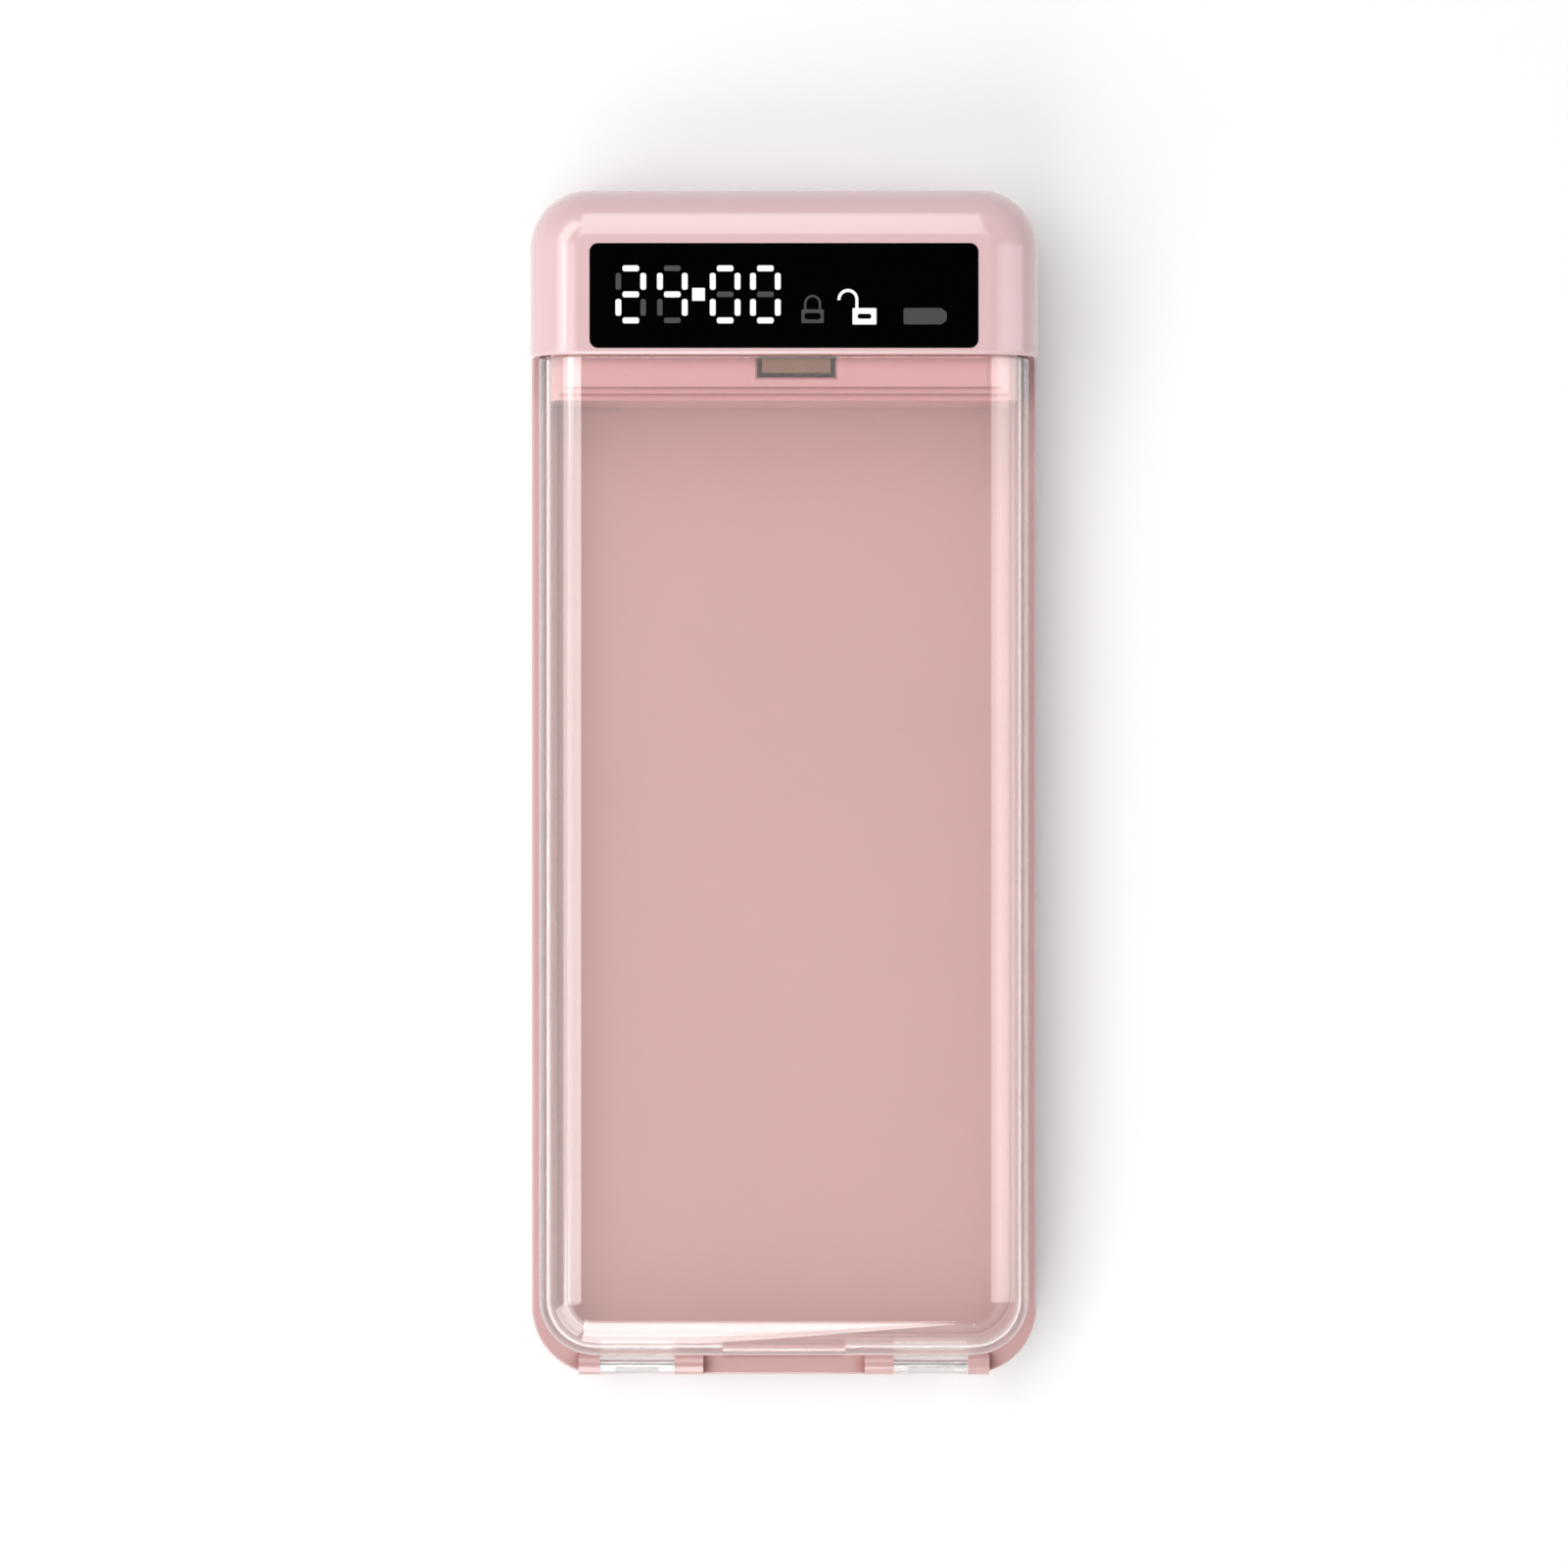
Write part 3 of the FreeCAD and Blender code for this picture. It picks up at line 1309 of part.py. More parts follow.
def lock_pinion():
    gear = gear_face(PINION_TEETH, GEAR_MODULE).extrude(point(0, 0, PINION_WIDTH))
    gear = gear.cut(post(0, 0, -1, PINION_WIDTH + 1, SHAFT_RADIUS + SHAFT_PLAY))
    # Turn the tooth that points along +Y up to +Z, and the gear's axis along X.
    turn = FreeCAD.Matrix(0, 0, 1, 0, 1, 0, 0, 0, 0, 1, 0, 0, 0, 0, 0, 1)
    gear = gear.transformGeometry(turn)
    gear.translate(point(LATCH_X - PINION_WIDTH / 2, PINION_Y, PINION_Z))
    return gear


def rack_tooth(y):
    """One rack tooth that points down, centred at y."""
    slope = math.tan(math.radians(PRESSURE_ANGLE))
    half = RACK_PITCH / 4 - BACKLASH / 2
    tip_z = RACK_LINE_Z - ADDENDUM * GEAR_MODULE
    root_z = BOLT_Z - RACK_ROOT
    half_tip = half - ADDENDUM * GEAR_MODULE * slope
    half_root = half + DEDENDUM * GEAR_MODULE * slope
    x = LATCH_X - PINION_WIDTH / 2 - RACK_OVERHANG
    corners = [
        point(x, y - half_root, root_z + RACK_JOIN),
        point(x, y - half_root, root_z),
        point(x, y - half_tip, tip_z),
        point(x, y + half_tip, tip_z),
        point(x, y + half_root, root_z),
        point(x, y + half_root, root_z + RACK_JOIN),
    ]
    face = Part.Face(Part.makePolygon(corners + corners[:1]))
    return face.extrude(point(PINION_WIDTH + 2 * RACK_OVERHANG, 0, 0))


def lock_bolt():
    top = BOLT_Z + BOLT_THICK
    half = BOLT_WIDTH / 2
    y_back = BOLT_Y + BOLT_LENGTH
    body = block(LATCH_X - half, LATCH_X + half, BOLT_Y, y_back, BOLT_Z, top)
    nose = [e for e in body.Edges if e.BoundBox.YMax < BOLT_Y + 1e-6 and e.BoundBox.XLength > 1]
    body = body.makeChamfer(BOLT_NOSE, nose)
    strip_half = PINION_WIDTH / 2 + RACK_OVERHANG
    first = PINION_Y - 1.5 * RACK_PITCH
    strip = block(
        LATCH_X - strip_half,
        LATCH_X + strip_half,
        first - RACK_PITCH / 2,
        first + (RACK_TEETH - 0.5) * RACK_PITCH,
        BOLT_Z - RACK_ROOT,
        BOLT_Z + RACK_JOIN,
    )
    teeth = [rack_tooth(first + count * RACK_PITCH) for count in range(RACK_TEETH)]
    return fuse(body, strip, *teeth)


def motor_section(grow, x0, x1):
    """A length of the motor's section: round sides with a flat top and bottom."""
    barrel = rod(MOTOR_WIDTH / 2 + grow, point(x0, PINION_Y, PINION_Z), point(x1, PINION_Y, PINION_Z))
    flat = MOTOR_HEIGHT / 2 + grow
    return barrel.common(
        block(x0, x1, PINION_Y - HALF, PINION_Y + HALF, PINION_Z - flat, PINION_Z + flat)
    )


def motor_can():
    can = motor_section(0, MOTOR_END_X, CAN_X)
    bush = rod(
        MOTOR_BUSH_RADIUS,
        point(MOTOR_END_X - MOTOR_BUSH_LENGTH, PINION_Y, PINION_Z),
        point(MOTOR_END_X, PINION_Y, PINION_Z),
    )
    return fuse(can, bush)


def gearbox():
    half_y, half_z = MOTOR_WIDTH / 2, MOTOR_HEIGHT / 2
    body = block(
        CAN_X,
        GEARBOX_X,
        PINION_Y - half_y,
        PINION_Y + half_y,
        PINION_Z - half_z,
        PINION_Z + half_z,
    )
    nose_end = GEARBOX_X + GEARBOX_NOSE
    nose = rod(
        SHAFT_RADIUS + NOSE_WALL,
        point(GEARBOX_X, PINION_Y, PINION_Z),
        point(nose_end, PINION_Y, PINION_Z),
    )
    hole = rod(
        SHAFT_RADIUS + SHAFT_PLAY,
        point(GEARBOX_X - SHAFT_IN_GEARBOX - SHAFT_END_GAP, PINION_Y, PINION_Z),
        point(nose_end + 1, PINION_Y, PINION_Z),
    )
    return fuse(body, nose).cut(hole)


def output_shaft():
    return rod(
        SHAFT_RADIUS,
        point(GEARBOX_X - SHAFT_IN_GEARBOX, PINION_Y, PINION_Z),
        point(LATCH_X + PINION_WIDTH / 2 + SHAFT_PAST_PINION, PINION_Y, PINION_Z),
    )


def motor_leads():
    strip_y = BOARD_TO_Y - BOARD_STRIP / 2
    shapes = []
    z_run = PINION_Z + MOTOR_LEAD_RISE
    for side, inset in zip((1, -1), MOTOR_LEAD_INSETS):
        x = BOARD_LEFT_X + inset
        y_off = side * MOTOR_TERMINAL
        y_end = strip_y - side * LEAD_STEP
        spots = [
            point(MOTOR_END_X, PINION_Y + y_off, z_run),
            point(x, PINION_Y + y_off, z_run),
            point(x, y_end, z_run),
            point(x, y_end, BOARD_TOP),
        ]
        shapes.append(lead(spots, LEAD_RADIUS, LEAD_BEND))
    return Part.makeCompound(shapes)


def guide_wall(side):
    """One side of the bolt's guide, with a groove that the bolt's edge slides in."""
    inner = LATCH_X + side * GUIDE_INNER
    edge = inner + side * GUIDE_GROOVE
    outer = inner + side * GUIDE_WALL
    x0, x1 = sorted((inner, outer))
    top = BOLT_Z + BOLT_THICK + GUIDE_ABOVE_BOLT
    y0 = BOLT_Y + GUIDE_SETBACK
    wall = block(x0, x1, y0, y0 + GUIDE_LENGTH, BRACKET_Z, top)
    g0, g1 = sorted((inner - side, edge))
    groove = block(
        g0,
        g1,
        y0 - 1,
        y0 + GUIDE_LENGTH + 1,
        BOLT_Z - GUIDE_PLAY,
        BOLT_Z + BOLT_THICK + GUIDE_PLAY,
    )
    return wall.cut(groove)


def lock_bracket():
    y0 = BOLT_Y + GUIDE_SETBACK
    left = LATCH_X - GUIDE_INNER - GUIDE_WALL
    right = LATCH_X + GUIDE_INNER + GUIDE_WALL
    plate = block(left, right, y0, y0 + GUIDE_LENGTH, BRACKET_Z, BRACKET_TOP)
    half = MOTOR_WIDTH / 2 + MOTOR_PLAY
    cheek = half + CRADLE_WALL
    tray = block(
        MOTOR_END_X,
        left + BRACKET_JOIN,
        PINION_Y - cheek,
        PINION_Y + cheek,
        BRACKET_Z,
        BRACKET_TOP,
    )
    cheek_z = PINION_Z - MOTOR_HEIGHT / 2 + CRADLE_LIFT
    x_strap = GEARBOX_X - GEARBOX_LENGTH / 2
    ear = cheek + EAR_LENGTH - CRADLE_WALL
    saddles = [
        block(
            MOTOR_END_X + SADDLE_FROM,
            MOTOR_END_X + SADDLE_TO,
            PINION_Y - cheek,
            PINION_Y + cheek,
            BRACKET_Z,
            cheek_z,
        ),
        block(
            x_strap - STRAP_WIDTH / 2 - SADDLE_MARGIN,
            x_strap + STRAP_WIDTH / 2 + SADDLE_MARGIN,
            PINION_Y - ear,
            PINION_Y + ear,
            BRACKET_Z,
            cheek_z,
        ),
    ]
    body = fuse(plate, tray, guide_wall(-1), guide_wall(1), *saddles)
    flat = MOTOR_HEIGHT / 2 + MOTOR_PLAY
    room = block(
        MOTOR_END_X - 1,
        GEARBOX_X,
        PINION_Y - half,
        PINION_Y + half,
        PINION_Z - flat,
        CASE_HEIGHT,
    )
    shaft_hole = rod(
        SHAFT_RADIUS + SHAFT_ROOM,
        point(GEARBOX_X, PINION_Y, PINION_Z),
        point(LATCH_X, PINION_Y, PINION_Z),
    )
    cuts = [room, shaft_hole]
    hole = SMALL_SCREW_RADIUS + SMALL_HOLE_PLAY
    cuts += [post(x, y, 0, BRACKET_TOP + 1, hole) for x, y in BRACKET_SCREWS]
    cuts += [
        post(x_strap, y, BRACKET_TOP, CASE_HEIGHT, SMALL_SCREW_RADIUS + SCREW_PLAY)
        for y in strap_screw_y()
    ]
    return body.cut(cuts)


def strap_screw_y():
    reach = MOTOR_WIDTH / 2 + MOTOR_PLAY + STRAP_THICK + (EAR_LENGTH - STRAP_THICK) / 2
    return (PINION_Y - reach, PINION_Y + reach)


def motor_strap():
    """A steel strap over the gearbox, screwed down at both ears."""
    x_strap = GEARBOX_X - GEARBOX_LENGTH / 2
    x0, x1 = x_strap - STRAP_WIDTH / 2, x_strap + STRAP_WIDTH / 2
    half = MOTOR_WIDTH / 2 + MOTOR_PLAY
    top = PINION_Z + MOTOR_HEIGHT / 2 + MOTOR_PLAY
    foot = PINION_Z - MOTOR_HEIGHT / 2 + CRADLE_LIFT
    ear = half + EAR_LENGTH
    bridge = block(
        x0, x1, PINION_Y - half - STRAP_THICK, PINION_Y + half + STRAP_THICK, foot, top + STRAP_THICK
    )
    ears = block(x0, x1, PINION_Y - ear, PINION_Y + ear, foot, foot + STRAP_THICK)
    room = block(x0 - 1, x1 + 1, PINION_Y - half, PINION_Y + half, foot - 1, top)
    hole = SMALL_SCREW_RADIUS + SMALL_HOLE_PLAY
    holes = [post(x_strap, y, foot - 1, top, hole) for y in strap_screw_y()]
    return fuse(bridge, ears).cut([room] + holes)


def drive_screws():
    """The screws of the bracket and of the motor strap."""
    shapes = [
        screw(
            x,
            y,
            BRACKET_TOP + SMALL_SCREW_HEAD_THICK,
            BRACKET_WALL + BRACKET_STAND,
            SMALL_SCREW_RADIUS,
            SMALL_SCREW_HEAD,
            SMALL_SCREW_HEAD_THICK,
            False,
        )
        for x, y in BRACKET_SCREWS
    ]
    foot = PINION_Z - MOTOR_HEIGHT / 2 + CRADLE_LIFT + STRAP_THICK
    shapes += [
        screw(
            GEARBOX_X - GEARBOX_LENGTH / 2,
            y,
            foot + SMALL_SCREW_HEAD_THICK,
            STRAP_SCREW_LENGTH,
            SMALL_SCREW_RADIUS,
            STRAP_SCREW_HEAD,
            SMALL_SCREW_HEAD_THICK,
            False,
        )
        for y in strap_screw_y()
    ]
    return Part.makeCompound(shapes)


def case_screws():
    shapes = [
        screw(
            x,
            y,
            FOOT_HEIGHT + CASE_SCREW_SINK,
            CASE_SCREW_LENGTH - CASE_SCREW_HEAD_THICK,
            CASE_SCREW_RADIUS,
            CASE_SCREW_HEAD,
            CASE_SCREW_HEAD_THICK,
            True,
        )
        for x, y in CASE_SCREWS
    ]
    return Part.makeCompound(shapes)


# Write one file per piece


def pieces():
    made = {
        "rear_case": rear_case(),
        "feet": feet(),
        "clear_cover": clear_cover(),
        "latch_hook": latch_hook(),
        "hinge_pin_left": hinge_pin(-1),
        "hinge_pin_right": hinge_pin(1),
        "head_cover": head_cover(),
        "display_lens": display_lens(),
        "digit_bars_lit": Part.makeCompound(digit_bars(True)),
        "digit_bars_dim": Part.makeCompound(digit_bars(False)),
        "icon_unlocked": icon_unlocked(),
        "icon_locked": icon_locked(),
        "icon_battery": icon_battery(),
        "display_module": display_module(),
        "display_board": display_board(),
        "display_screws": display_screws(),
        "display_flex": display_flex(),
        "main_board": main_board(),
        "board_parts": board_parts(),
        "board_screws": board_screws(),
        "battery": battery(),
        "battery_leads": battery_leads(),
        "usb_shell": usb_shell(),
        "usb_tongue": usb_tongue(),
        "tact_switches": tact_switches(),
        "lock_bolt": lock_bolt(),
        "lock_pinion": lock_pinion(),
        "output_shaft": output_shaft(),
        "gearbox": gearbox(),
        "motor_can": motor_can(),
        "motor_leads": motor_leads(),
        "lock_bracket": lock_bracket(),
        "motor_strap": motor_strap(),
        "drive_screws": drive_screws(),
        "case_screws": case_screws(),
    }
    for name, x in zip(BUTTON_NAMES, BUTTON_X):
        made[name] = button(x)
    return made


os.makedirs("parts", exist_ok=True)
for name, shape in pieces().items():
    solids = shape.Solids
    print(name, len(solids), "valid" if shape.isValid() else "INVALID", round(shape.Volume, 2))
    kept = solids[0] if len(solids) == 1 else Part.makeCompound(solids)
    kept.exportStep(os.path.join("parts", name + ".step"))
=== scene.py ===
"""Finishes, studio and camera for a timed lock container, laid out as an add-on and run as a script."""

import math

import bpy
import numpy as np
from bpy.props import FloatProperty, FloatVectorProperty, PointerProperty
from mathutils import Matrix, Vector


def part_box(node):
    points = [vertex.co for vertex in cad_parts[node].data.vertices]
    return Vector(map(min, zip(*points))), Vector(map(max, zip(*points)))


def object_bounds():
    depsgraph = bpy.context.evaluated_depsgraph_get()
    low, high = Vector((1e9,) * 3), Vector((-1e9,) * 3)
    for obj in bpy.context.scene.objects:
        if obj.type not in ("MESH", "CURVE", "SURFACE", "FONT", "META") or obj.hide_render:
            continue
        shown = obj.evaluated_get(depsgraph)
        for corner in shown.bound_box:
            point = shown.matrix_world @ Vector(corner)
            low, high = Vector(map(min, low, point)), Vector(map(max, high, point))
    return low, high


bl_info = {
    "name": "Timed lock container finishes",
    "version": (1, 0, 0),
    "blender": (4, 5, 0),
    "location": "View3D > Sidebar > Lock Box",
    "description": "Dresses the pieces of a timed phone lock box and lights them in a pale studio",
    "category": "Object",
}

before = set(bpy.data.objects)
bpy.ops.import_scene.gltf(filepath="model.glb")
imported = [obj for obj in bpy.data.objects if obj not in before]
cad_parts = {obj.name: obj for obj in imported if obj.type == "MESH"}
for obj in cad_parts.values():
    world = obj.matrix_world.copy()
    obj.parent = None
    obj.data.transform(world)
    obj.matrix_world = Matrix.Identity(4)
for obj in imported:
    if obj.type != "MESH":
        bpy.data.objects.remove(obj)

CAD_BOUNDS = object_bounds()

# The photograph is square. The case is this wide in it, at the height of the tray's rim.
PHOTO_SIDE_PX = 1601
CASE_WIDTH_PX = 515
RIM_HEIGHT = 0.014
CASE_LOW, CASE_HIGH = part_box("rear_case")
CASE_WIDTH = CASE_HIGH.x - CASE_LOW.x

# The head's ledge lies under the cover, and ends where the cover does, with this soft an edge. The
# ledge carries painted shade: a deeper pink for the shade and tint of the cover over it.
COVER_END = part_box("clear_cover")[1].y
LEDGE_SHADE_EDGE = 0.0002

# The floor of the tray's pocket: its height, half its width, and how far up the walls its dull
# finish fades out.
POCKET_FLOOR = 0.0028
POCKET_HALF = 0.0455
POCKET_FADE = (0.001, 0.008)
POCKET_EDGE = 0.0005
POCKET_DULL = 0.35

# The cover's tail: where the knuckles begin, towards -Y, and the thin panel between them.
KNUCKLES = -0.1057
KNUCKLE_FADE = 0.001
KNUCKLE_TINT = (0.98, 0.97, 0.97)
PANEL_HALF = 0.0113
PANEL_FROM = -0.1030
PANEL_EDGE = 0.0003
PANEL_TINT = (0.90, 0.71, 0.72)

# Plastics: refraction, haze of the clear ones, and how far the painted shade of grooves and inner
# corners reaches. The clear ones bend light very little, and get their gloss from a coat.
PINK_IOR = 1.54
CLEAR_IOR = 1.12
CLEAR_COAT_IOR = 1.9
CLEAR_GRAIN = 0.004
COVER_HAZE = 0.04
HOOK_HAZE = 0.12
CREVICE_SHADE_REACH = 0.003
DUST = (0.7, 0.68, 0.66)

# Strength of the light behind the lit signs
SIGN_LIGHT = 0.7

# The white backdrop fades out between these heights of a ray's direction, where 0 is level with
# the horizon and 1 is straight up.
CEILING_FROM = 0.80
CEILING_TO = 0.92
BACKDROP_LEVEL = 1.0

# The floor: lines of its grid along each side, and its glow, which rises with the distance from the
# middle, in metres, from the first level to the second
FLOOR_LINES = 41
GLOW_REACH = (0.3, 3.0)
GLOW_LEVEL = (0.15, 0.75)

# Each softbox: compass angle seen from above (0 is the head's end, 90 the right side), tilt from
# straight up, distance, width across its own azimuth, and length along the tilt, in degrees and metres.
SOFTBOXES = {
    "left": (-90, 31, 1.0, 0.42, 0.70),
    "head": (-5, 36, 1.0, 0.30, 0.80),
    "tail": (-170, 57, 0.9, 0.30, 0.95),
    "right": (90, 50, 1.1, 0.45, 1.40),
    "head_corner": (-48, 40, 1.0, 0.60, 0.40),
    "tail_corner": (-132, 58, 1.0, 0.80, 0.70),
}


class LockBoxColours(bpy.types.PropertyGroup):
    """Colours of the pieces."""

    pink: FloatVectorProperty(
        name="Head",
        description="Colour of the head and the buttons",
        subtype="COLOR",
        default=(0.73, 0.488, 0.50),
    )
    # Painted shade: the ledge is the same moulding as the head, painted deeper for the shade and tint
    # of the clear cover over it.
    ledge: FloatVectorProperty(
        name="Ledge",
        description="Deeper colour of the head's ledge, which lies under the edge of the clear cover",
        subtype="COLOR",
        default=(0.68, 0.385, 0.39),
    )
    tray: FloatVectorProperty(
        name="Tray",
        description="Colour of the tray, a little duskier than the head",
        subtype="COLOR",
        default=(0.57, 0.355, 0.345),
    )
    # Painted shade: pink mouldings darken towards this colour in grooves and inner corners, found by
    # ambient occlusion.
    painted_crevice_shade: FloatVectorProperty(
        name="Grooves",
        description="Colour of the pink mouldings deep in grooves and inner corners",
        subtype="COLOR",
        default=(0.32, 0.10, 0.08),
    )
    clear_tint: FloatVectorProperty(
        name="Clear tint",
        description="Tint of the clear cover",
        subtype="COLOR",
        default=(0.93, 0.88, 0.87),
    )
    hook_tint: FloatVectorProperty(
        name="Hook tint",
        description="Tint of the clear hook, which is seen against the dark of its slot",
        subtype="COLOR",
        default=(0.78, 0.62, 0.54),
    )
    window_black: FloatVectorProperty(
        name="Display window",
        description="Colour of the display's window",
        subtype="COLOR",
        default=(0.0008, 0.0008, 0.0009),
    )
    lit: FloatVectorProperty(
        name="Lit signs",
        description="Milky colour of the lit bars and of the open lock sign, under their own light",
        subtype="COLOR",
        default=(0.28, 0.28, 0.28),
    )
    dim: FloatVectorProperty(
        name="Unlit signs",
        description="Colour of the bars and signs that are off",
        subtype="COLOR",
        default=(0.062, 0.062, 0.064),
    )
    board: FloatVectorProperty(
        name="Circuit board",
        description="Colour of the boards' solder mask",
        subtype="COLOR",
        default=(0.012, 0.11, 0.045),
    )
    black_part: FloatVectorProperty(
        name="Black mouldings",
        description="Colour of chips, switches and the display's light chambers",
        subtype="COLOR",
        default=(0.018, 0.018, 0.02),
    )
    white_part: FloatVectorProperty(
        name="White mouldings",
        description="Colour of the bolt and its guide",
        subtype="COLOR",
        default=(0.74, 0.72, 0.67),
    )
    steel: FloatVectorProperty(
        name="Steel",
        description="Colour of screws, pins, motor and strap",
        subtype="COLOR",
        default=(0.56, 0.56, 0.57),
    )
    brass: FloatVectorProperty(
        name="Brass",
        description="Colour of the pinion",
        subtype="COLOR",
        default=(0.78, 0.53, 0.22),
    )
    foil: FloatVectorProperty(
        name="Battery foil",
        description="Colour of the battery's pouch",
        subtype="COLOR",
        default=(0.62, 0.63, 0.66),
    )
    film: FloatVectorProperty(
        name="Flat cable",
        description="Colour of the flat cable's film",
        subtype="COLOR",
        default=(0.42, 0.17, 0.03),
    )
    lead: FloatVectorProperty(
        name="Plus lead",
        description="Colour of the plus wires; the minus wires are black",
        subtype="COLOR",
        default=(0.55, 0.015, 0.012),
    )
    foot: FloatVectorProperty(
        name="Feet",
        description="Colour of the pads under the case",
        subtype="COLOR",
        default=(0.60, 0.50, 0.50),
    )
    floor: FloatVectorProperty(
        name="Floor",
        description="Colour of the studio floor",
        subtype="COLOR",
        default=(0.86, 0.86, 0.86),
    )


class LockBoxFinish(bpy.types.PropertyGroup):
    """Sizes and amounts of the surfaces' fine detail."""

    shell_roughness: FloatProperty(
        name="Shell roughness",
        description="Roughness of the pink mouldings",
        default=0.2,
        min=0.0,
        max=1.0,
        subtype="FACTOR",
    )
    clear_roughness: FloatProperty(
        name="Clear roughness",
        description="Roughness of the polished clear mouldings",
        default=0.02,
        min=0.0,
        max=1.0,
        subtype="FACTOR",
    )
    grain: FloatProperty(
        name="Moulding grain",
        description="Size of the fine grain that the mould leaves",
        default=0.0006,
        min=0.0001,
        max=0.01,
        unit="LENGTH",
    )
    grain_depth: FloatProperty(
        name="Grain depth",
        description="Depth of the fine grain",
        default=0.000006,
        min=0.0,
        max=0.001,
        precision=6,
        unit="LENGTH",
    )
    handling: FloatProperty(
        name="Handling marks",
        description="Width of the faint smears that handling leaves",
        default=0.02,
        min=0.001,
        max=0.2,
        unit="LENGTH",
    )


class LockBoxStudio(bpy.types.PropertyGroup):
    """Camera, floor and lamps."""

    camera_height: FloatProperty(
        name="Camera height",
        description="Height of the camera over the floor, straight above the case",
        default=1.1,
        min=0.3,
        max=10.0,
        unit="LENGTH",
    )
    floor_reach: FloatProperty(
        name="Floor reach",
        description="Distance from the middle to each edge of the square floor",
        default=12.0,
        min=1.0,
        max=100.0,
        unit="LENGTH",
    )
    world_level: FloatProperty(
        name="World level",
        description="Level of the even light from all round",
        default=0.22,
        min=0.0,
        max=2.0,
    )
    left_level: FloatProperty(
        name="Left softbox",
        description="Brightness of the softbox on the left",
        default=2.1,
        min=0.0,
        max=50.0,
    )
    head_level: FloatProperty(
        name="Head softbox",
        description="Brightness of the softbox past the head's end",
        default=2.4,
        min=0.0,
        max=50.0,
    )
    tail_level: FloatProperty(
        name="Tail softbox",
        description="Brightness of the softbox past the hinges",
        default=3.3,
        min=0.0,
        max=50.0,
    )
    right_level: FloatProperty(
        name="Right softbox",
        description="Brightness of the large softbox on the right",
        default=1.3,
        min=0.0,
        max=50.0,
    )
    head_corner_level: FloatProperty(
        name="Head corner softbox",
        description="Brightness of the softbox between the left and head ones",
        default=2.8,
        min=0.0,
        max=50.0,
    )
    tail_corner_level: FloatProperty(
        name="Tail corner softbox",
        description="Brightness of the softbox between the left and tail ones",
        default=2.2,
        min=0.0,
        max=50.0,
    )


# Shader node helpers


def node(tree, kind, inputs=None, **settings):
    """Adds one shader node, sets its properties, and links or sets its inputs."""
    made = tree.nodes.new(kind)
    for name, value in settings.items():
        setattr(made, name, value)
    for name, value in (inputs or {}).items():
        if isinstance(value, bpy.types.NodeSocket):
            tree.links.new(value, made.inputs[name])
        else:
            made.inputs[name].default_value = value
    return made


def noise(tree, where, size, detail=3.0, roughness=0.5, distortion=0.0):
    """Noise with features about as large as size, in metres, from 0 to 1."""
    inputs = {
        "Vector": where,
        "Scale": 1.0 / size,
        "Detail": detail,
        "Roughness": roughness,
        "Distortion": distortion,
    }
    return node(tree, "ShaderNodeTexNoise", inputs).outputs["Fac"]


def remap(tree, value, low, high, to_low=0.0, to_high=1.0):
    """Maps low..high to to_low..to_high, and holds the ends."""
    inputs = {
        "Value": value,
        "From Min": low,
        "From Max": high,
        "To Min": to_low,
        "To Max": to_high,
    }
    return node(tree, "ShaderNodeMapRange", inputs).outputs["Result"]


def math_node(tree, operation, *values):
    """The result of an operation on sockets or numbers."""
    made = node(tree, "ShaderNodeMath", operation=operation)
    for socket, value in zip(made.inputs, values):
        if isinstance(value, bpy.types.NodeSocket):
            tree.links.new(value, socket)
        else:
            socket.default_value = value
    return made.outputs[0]


def blend_colours(tree, factor, first, second):
    """A colour between first, at factor 0, and second, at factor 1."""
    made = node(tree, "ShaderNodeMix", data_type="RGBA")
    tree.links.new(factor, made.inputs["Factor"])
    for name, value in (("A", first), ("B", second)):
        socket = next(s for s in made.inputs if s.name == name and s.type == "RGBA")
        if isinstance(value, bpy.types.NodeSocket):
            tree.links.new(value, socket)
        else:
            socket.default_value = (*value, 1.0)
    return next(s for s in made.outputs if s.type == "RGBA")


def shade(colour, factor):
    """The colour made darker or lighter by a factor, kept at or under white."""
    return tuple(min(1.0, c * factor) for c in colour)


def only_node(tree, kind):
    """The tree's one node of a kind."""
    return next(n for n in tree.nodes if n.type == kind)


def object_point(tree):
    """The point's place in the object's own coordinates, in metres, as one socket."""
    return node(tree, "ShaderNodeTexCoord").outputs["Object"]


def object_axes(tree):
    """The point's place in the object's own coordinates as three sockets, X, Y and Z."""
    return node(tree, "ShaderNodeSeparateXYZ", {"Vector": object_point(tree)}).outputs


def seen_rays(tree):
    """1 for camera, glossy and transmission rays, and 0 for the others."""
    path = node(tree, "ShaderNodeLightPath").outputs
    seen = math_node(tree, "MAXIMUM", path["Is Camera Ray"], path["Is Glossy Ray"])
    return math_node(tree, "MAXIMUM", seen, path["Is Transmission Ray"])


def new_group(name, inputs, outputs):
    """An empty shader group with float inputs {name: default} and the named float outputs."""
    tree = bpy.data.node_groups.new(name, "ShaderNodeTree")
    for socket, default in inputs.items():
        made = tree.interface.new_socket(socket, in_out="INPUT", socket_type="NodeSocketFloat")
        made.default_value = default
    for socket in outputs:
        tree.interface.new_socket(socket, in_out="OUTPUT", socket_type="NodeSocketFloat")
    return tree, tree.nodes.new("NodeGroupInput"), tree.nodes.new("NodeGroupOutput")


